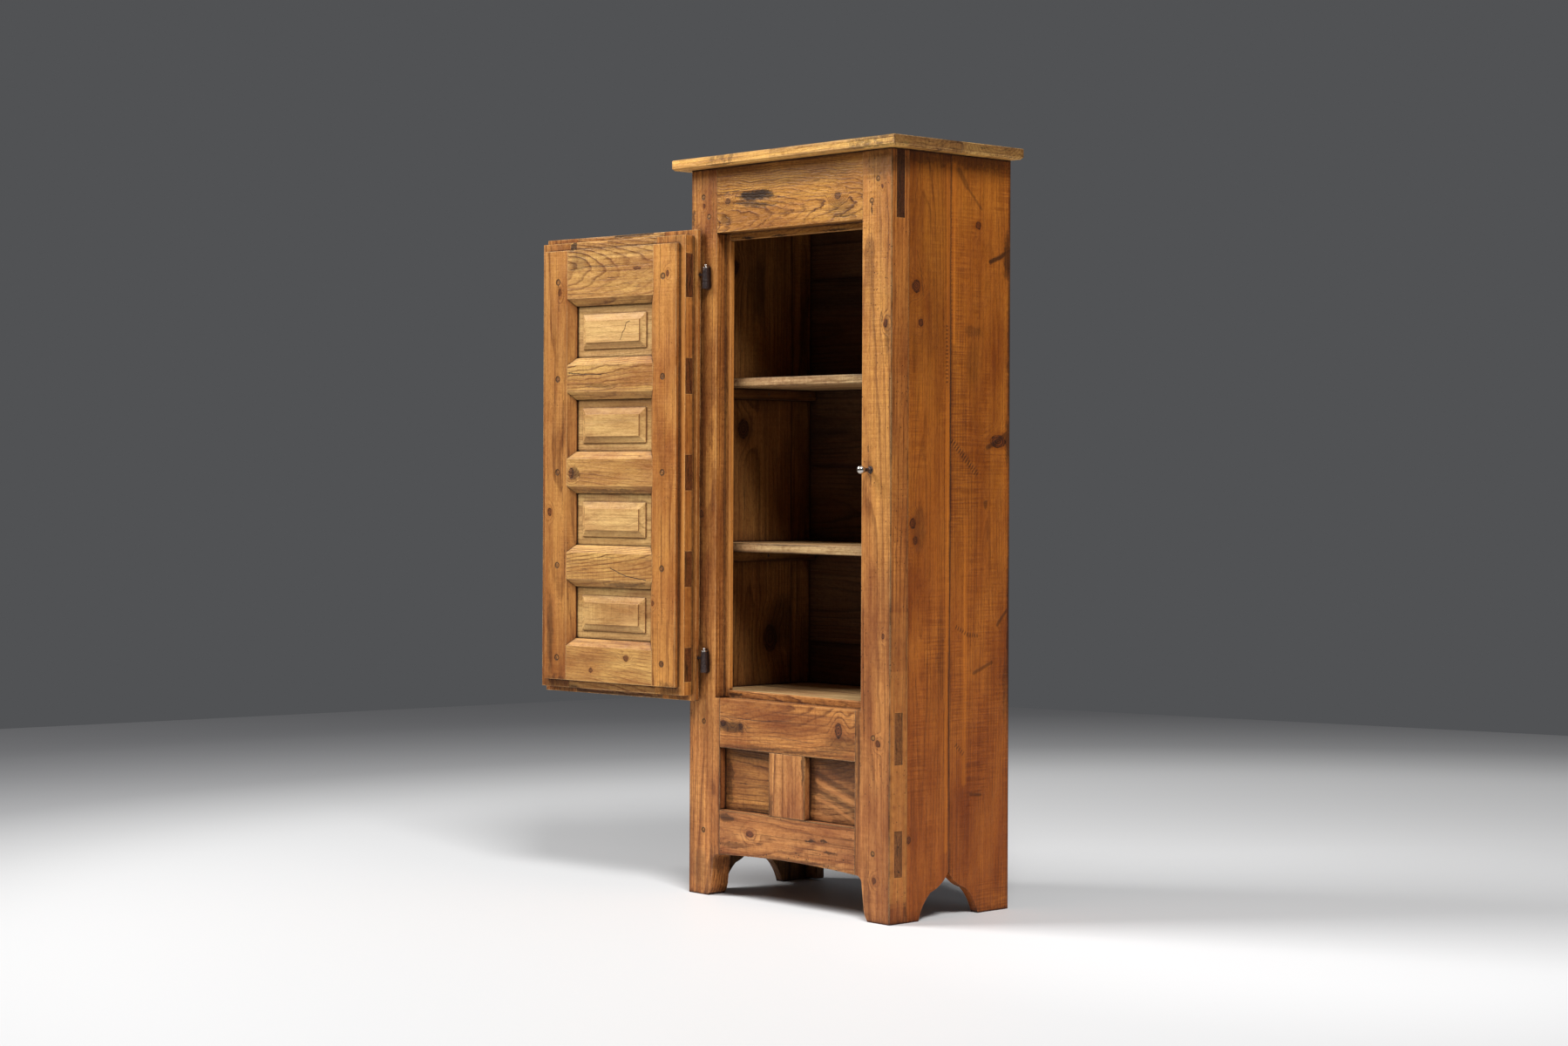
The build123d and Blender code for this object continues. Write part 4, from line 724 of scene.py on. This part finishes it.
for number, heart, lean in ((1, (0.0, -0.04), 0.04), (2, (0.02, -0.05), 0.05), (3, (0.0, -0.04), 0.03),
                            (4, (-0.01, -0.05), 0.04)):
    board(f"door_panel_{number}", "XZY", "field", 60 + number, heart=heart, lean=lean, figure=0.35,
          streaks=0.35, rub_and_highlight=0.3, on_door=True,
          strokes=[FIELD_CRACK] if number == 4 else ())
board("door_pegs", "YXZ", "peg", 70, ends=0.25, on_door=True)
board("frame_pegs", "YXZ", "peg", 71, ends=0.25)
print("door dressed")

# %% [markdown]
# Iron and steel. The hinges, nails and tongue are forged iron, brown-black with a dry
# skin. The knob is steel, filed bright and polished by hands.

# %% Iron and steel
# forged iron: scale and rust in flecks of 5 mm, which break up its gloss
forged = bpy.data.materials.new("forged_iron")
forged.use_nodes = True
tree = forged.node_tree
here = add(tree, "TexCoord").outputs["Object"]
skin = add(tree, "TexNoise", {}, {"Vector": here, "Scale": 220.0, "Detail": 4.0})
rust = add(tree, "Mix", BLEND, {0: skin, 6: paint("1f191a"), 7: paint("6a5a56")})
scale_height = add(tree, "Bump", {}, {"Height": skin, "Strength": 0.6, "Distance": 0.0006})
shader = tree.nodes["Principled BSDF"]
shader.inputs["Metallic"].default_value = 0.75
shader.inputs["Roughness"].default_value = 0.42
tree.links.new(rust.outputs[2], shader.inputs["Base Color"])
tree.links.new(scale_height.outputs["Normal"], shader.inputs["Normal"])

# polished steel: bright, with the smears of fingers in its gloss
bright = bpy.data.materials.new("polished_steel")
bright.use_nodes = True
tree = bright.node_tree
here = add(tree, "TexCoord").outputs["Object"]
smear = add(tree, "TexNoise", {}, {"Vector": here, "Scale": 160.0, "Detail": 3.0})
smear = add(tree, "MapRange", {}, {0: smear, 1: 0.3, 2: 0.7, 3: 0.18, 4: 0.42})
shader = tree.nodes["Principled BSDF"]
shader.inputs["Metallic"].default_value = 1.0
shader.inputs["Base Color"].default_value = paint("b9b4ae")
tree.links.new(smear.outputs[0], shader.inputs["Roughness"])

# every node that is not a board is iron, but for the knob
for name, node in nodes.items():
    if not node.data.materials or not node.data.materials[0].name.startswith("pine_"):
        node.data.materials.clear()
        node.data.materials.append(bright if name == "latch_knob" else forged)
print("iron pieces:", sum(n.data.materials[0] == forged for n in nodes.values()))

# %% [markdown]
# The hinges are wrought: two short barrels on one pin, the lower one on a spike driven into
# the post, the upper one on a spike in the door's edge, with a small finial on top. A plain
# cylinder would look machine-made. So each barrel is a profile carried round the hinge line,
# with shallow hammer dents worked into its radius, and each spike is a square section with
# soft corners carried along a line. The knob's ball is turned in the same way, but from
# smooth steel, on an iron neck that has only the faintest dents.

# %% Profiles round a line and sections along one
AROUND = np.linspace(0.0, 2.0 * math.pi, 48, endpoint=False)


def eased(points, passes=3):
    """Corner cutting: each pass keeps the ends and puts points at 1/4 and 3/4 of every run."""
    points = np.array(points, float)
    for _ in range(passes):
        first, second = points[:-1], points[1:]
        cuts = np.stack((0.75 * first + 0.25 * second, 0.25 * first + 0.75 * second), axis=1).reshape(-1, 2)
        points = np.vstack((points[:1], cuts[1:-1], points[-1:]))
    return points


def carried(origin, way, radius, height):
    """A grid about a line: p = o + h w + r (cos t u + sin t v), where u, v and w are square to
    each other, t runs round the line and r and h are arrays, one row for each ring."""
    way = np.array(way, float) / np.linalg.norm(way)
    u = np.cross((0.0, 0.0, 1.0) if abs(way[2]) < 0.9 else (0.0, 1.0, 0.0), way)
    u /= np.linalg.norm(u)
    v = np.cross(way, u)
    spread = np.cos(AROUND)[:, None] * u + np.sin(AROUND)[:, None] * v
    return np.array(origin) + height[:, None, None] * way + radius[..., None] * spread


def turned(origin, way, profile, dents=0.0):
    """A profile of radii and heights in mm, with radii dented by d sin(3 t + h / 4) sin(h / 3 - t)."""
    radius, height = np.array(profile).T
    t, h = AROUND[None, :], height[:, None]
    radius = radius[:, None] + dents * np.sin(3 * t + h / 4) * np.sin(h / 3 - t)
    return carried(origin, way, radius / 1000, height / 1000)


def spike(origin, way, start, end, side, point):
    """A square bar with soft corners: r = side / 2 / (|cos t|^6 + |sin t|^6)^(1/6), in mm,
    which narrows to a fifth over its last stretch, the point."""
    height = np.linspace(start, end, 24)
    narrowing = np.clip((end - height) / point, 0.2, 1.0)
    corner = (np.abs(np.cos(AROUND)) ** 6 + np.abs(np.sin(AROUND)) ** 6) ** (-1 / 6)
    return carried(origin, way, side / 2000 * narrowing[:, None] * corner, height / 1000)


print("points round each ring:", len(AROUND))


# %% A piece made of closed skins
def piece(name, grids, body, material, replaced):
    """One mesh of several closed grids: quads between rings, and a fan to the middle of each end."""
    points, faces, base = [], [], 0
    for grid in grids:
        rings, around, _ = grid.shape
        row = np.arange(rings - 1)[:, None] * around
        here, after = np.arange(around), (np.arange(around) + 1) % around
        quads = np.stack((row + here, row + after, row + around + after, row + around + here), axis=-1)
        last = (rings - 1) * around
        low = np.stack((np.full(around, rings * around), after, here), axis=-1)
        high = np.stack((np.full(around, rings * around + 1), last + here, last + after), axis=-1)
        faces += (quads.reshape(-1, 4) + base).tolist() + (low + base).tolist() + (high + base).tolist()
        points.append(np.vstack((grid.reshape(-1, 3), grid[0].mean(0), grid[-1].mean(0))))
        base += len(points[-1])
    mesh = bpy.data.meshes.new(name)
    mesh.from_pydata(np.vstack(points).tolist(), [], faces)
    mesh.shade_smooth()
    mesh.set_sharp_from_angle(angle=math.radians(50))
    mesh.materials.append(material)
    made = bpy.data.objects.new(name, mesh)
    bpy.context.scene.collection.objects.link(made)
    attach(made, body)
    if replaced:
        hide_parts(replaced)


print("the hinge line stands at", (DATUM + HINGE).round(4))

# %% Hinges and knob
UP, BACK, OUT = (0, 0, 1), (0, 1, 0), (0, -1, 0)
ALONG_DOOR = (math.cos(DOOR_SWING), -math.sin(DOOR_SWING), 0.0)    # away from the hinge line, door open
hinge_line = DATUM + HINGE
post_barrel = eased([(6.4, 0.0), (8.6, 0.2), (9.0, 2.4), (9.0, 12.8), (8.7, 14.9), (6.4, 15.0)])
door_barrel = eased([(6.4, 15.4), (8.6, 15.5), (8.9, 17.4), (8.5, 24.0), (8.1, 38.0), (7.8, 48.6),
                     (6.2, 49.0)])
finial = eased([(6.0, 49.1), (7.9, 49.6), (8.0, 51.4), (7.0, 52.2), (2.4, 52.6), (2.4, 54.0),
                (3.6, 55.2), (3.4, 57.4), (1.2, 58.8)])
hinge_feet = {"upper": hinge_line + (0.0, 0.0, 1.4395), "lower": hinge_line + (0.0, 0.0, 0.5285)}
POST_SPIKE, DOOR_SPIKE = (0.0, 0.0, 0.0075), (0.0, 0.0, 0.034)     # metres above a hinge's foot
for level, foot in hinge_feet.items():
    piece(f"forged_hinge_{level}_post",
          [turned(foot, UP, post_barrel, dents=0.25),
           spike(foot + POST_SPIKE, BACK, start=4.0, end=41.0, side=7.0, point=9.0)],
          "carcass", forged, f"hinge_{level}_post_half")
    piece(f"forged_hinge_{level}_door",
          [turned(foot, UP, door_barrel, dents=0.30),
           spike(foot + DOOR_SPIKE, ALONG_DOOR, start=4.0, end=53.0, side=6.0, point=9.0)],
          "door", forged, f"hinge_{level}_door_half")
for level, foot in hinge_feet.items():
    piece(f"turned_finial_{level}", [turned(foot, UP, finial)], "door", bright, None)

knob_foot = DATUM + (0.2755, 0.0, 1.010)         # where the knob's spindle leaves the post
BALL_RADIUS, BALL_REACH = 9.5, 29.0              # mm, the reach from the post to the ball's middle
sweep_angle = np.linspace(0.30, math.pi - 0.06, 32)
ball = np.stack((BALL_RADIUS * np.sin(sweep_angle), BALL_REACH - BALL_RADIUS * np.cos(sweep_angle)), axis=-1)
piece("turned_knob", [turned(knob_foot, OUT, ball)], "latch", bright, "latch_knob")
neck = eased([(4.4, 2.9), (5.4, 3.0), (5.6, 4.4), (4.0, 5.4), (3.6, 8.0), (3.9, 14.0), (5.2, 17.5),
              (6.6, 20.6), (6.4, 22.4), (3.0, 23.0)])
piece("forged_knob_neck",
      [turned(knob_foot, OUT, neck, dents=0.1),
       spike(knob_foot, BACK, start=-4.0, end=24.0, side=6.0, point=1.0)],
      "latch", forged, None)

# %% [markdown]
# No arris on old furniture is sharp. The model's meshes are loose triangles, so a Weld
# joins them, and a narrow Bevel then rounds each real corner by about a millimetre.

# %% Round the arrises
MEETING = 1e-5                          # metres: vertices closer than this are one
EASE = 0.0014                           # metres: how far the rounding goes back from a corner
CORNER = math.radians(40)               # a fold sharper than this is a corner
for name, node in nodes.items():
    if node.data.materials[0].name.startswith("pine_"):
        weld = node.modifiers.new("weld", "WELD")
        weld.merge_threshold = MEETING
        arris = node.modifiers.new("arris", "BEVEL")
        arris.width = EASE
        arris.segments = 2
        arris.limit_method = "ANGLE"
        arris.angle_limit = CORNER
print("boards with rounded arrises:", sum(bool(n.modifiers) for n in nodes.values()))

# %% [markdown]
# Soft light shows old wood best, because its shadows are wide and every dent stays
# readable. So there are two large square lamps: the key, in front of the cupboard on the
# left, and a fill high on the right, which lights the side. The floor is one flat sheet.
# It carries a painted pool of light: it is palest near the cupboard and darker towards its
# edges, as paper is that runs out of the light, so its colour comes from the distance to the
# middle of that pool. The pool's middle lies behind the cupboard on the right, so the painted
# light also lifts the shadow the key casts there.

# %% Light
def lamp(name, place, aim, size, watts):
    """A square soft light at a place, turned so that its -z axis points at the aim."""
    data = bpy.data.lights.new(name, "AREA")
    data.shape = "SQUARE"
    data.size = size
    data.energy = watts
    light = bpy.data.objects.new(name, data)
    way = np.array(aim) - np.array(place)
    light.location = place
    light.rotation_euler = Vector(way).to_track_quat("-Z", "Y").to_euler()
    bpy.context.scene.collection.objects.link(light)


lamp("key", place=(-2.7, -2.9, 4.9), aim=(0.3, 0.0, 1.0), size=2.6, watts=356)
lamp("fill", place=(5.1, -2.86, 8.0), aim=(0.3, 0.0, 0.9), size=2.8, watts=690)

# %% Floor and surround
FLOOR_CORNERS = [(-6.6, -11.7, 0.0), (14.0, -12.0, 0.0), (10.7, 8.6, 0.0), (-4.68, 4.2, 0.0)]
# the middle of a painted pool of light, behind the cupboard on the right, and its radius
PAINTED_LIGHT_POOL, PAINTED_LIGHT_REACH = (1.4, 0.9, 0.0), 6.0     # metres: the middle of the pale pool, and its radius
sheet = bpy.data.meshes.new("floor")
sheet.from_pydata(FLOOR_CORNERS, [], [(0, 1, 2, 3)])
floor = bpy.data.objects.new("floor", sheet)
bpy.context.scene.collection.objects.link(floor)
plain = bpy.data.materials.new("studio_floor")
plain.use_nodes = True
tree = plain.node_tree
here = add(tree, "TexCoord").outputs["Object"]
spread = add(tree, "VectorMath", {"operation": "DISTANCE"}, {0: here, 1: PAINTED_LIGHT_POOL})
spread = add(tree, "Math", DIVIDE, {0: spread.outputs["Value"], 1: PAINTED_LIGHT_REACH})
# the floor's colour from that distance: the painted pool of light, palest in its middle
tone = add(tree, "ValToRGB", {}, {0: spread})
tone.color_ramp.interpolation = "B_SPLINE"
tone.color_ramp.elements[0].color = paint("fcfcfc")
for at, grey in ((0.14, "fcfcfc"), (0.24, "e6e6e6"), (0.40, "dddddd"), (0.52, "dfdfdf"), (0.60, "c8c8c8"),
                 (0.70, "a2a2a3")):
    tone.color_ramp.elements.new(at).color = paint(grey)
tone.color_ramp.elements[-1].position = 0.90
tone.color_ramp.elements[-1].color = paint("78787a")
shader = tree.nodes["Principled BSDF"]
shader.inputs["Roughness"].default_value = 0.5
tree.links.new(tone.outputs["Color"], shader.inputs["Base Color"])
floor.data.materials.append(plain)

# the surround is a shade lighter where the camera sees it than where it lights the cupboard
world = bpy.data.worlds.new("studio")
world.use_nodes = True
bpy.context.scene.world = world
tree = world.node_tree
path = add(tree, "LightPath").outputs
seen = add(tree, "Math", LARGEST, {0: path["Is Camera Ray"], 1: path["Is Glossy Ray"]})
sky = add(tree, "Mix", BLEND, {0: seen, 6: paint("4e4e50"), 7: paint("515254")})
tree.links.new(sky.outputs[2], tree.nodes["Background"].inputs["Color"])
print("floor corners:", FLOOR_CORNERS)

# %% [markdown]
# A camera that is held level keeps every upright of the cupboard upright in the picture. So
# it is not tilted: it stands as high as the middle of the door, and its frame is shifted a
# little instead, as a view camera's is. A long lens from six and a half metres keeps the
# planks' edges close to parallel. A camera in the hand is never quite straight, which the
# small roll stands for.

# %% Camera
CAMERA_PLACE = (4.7974, -4.4056, 0.9892)            # metres, from the middle of the front
YAW, ROLL = math.radians(47.494), math.radians(0.237)
SENSOR = 36.0                                       # mm, the frame's width
PICTURE_WIDE, PICTURE_HIGH = 1799.0, 1200.0         # the picture in pixels,
FOCAL, HORIZON = 3243.0, 549.3                      # the lens in the same unit, and the eye's level
forward = np.array((-math.sin(YAW), math.cos(YAW), 0.0))
right = np.array((math.cos(YAW), math.sin(YAW), 0.0))
up = np.cross(right, forward)
turned_right = math.cos(ROLL) * right + math.sin(ROLL) * up
turned_up = math.cos(ROLL) * up - math.sin(ROLL) * right
lens = bpy.data.cameras.new("camera")
lens.sensor_fit = "HORIZONTAL"
lens.sensor_width = SENSOR
lens.lens = SENSOR * FOCAL / PICTURE_WIDE
lens.shift_y = (HORIZON - PICTURE_HIGH / 2) / PICTURE_WIDE
lens.clip_end = 60.0
camera = bpy.data.objects.new("camera", lens)
axes = np.array((turned_right, turned_up, -forward)).T
stand = np.array(CAMERA_PLACE) + DATUM
camera.matrix_world = Matrix([[*row, p] for row, p in zip(axes, stand)] + [[0, 0, 0, 1]])
bpy.context.scene.collection.objects.link(camera)
bpy.context.scene.camera = camera
bpy.context.scene.view_settings.view_transform = "Standard"
print("camera at", [round(v, 3) for v in camera.matrix_world.translation], "lens", round(lens.lens, 1))
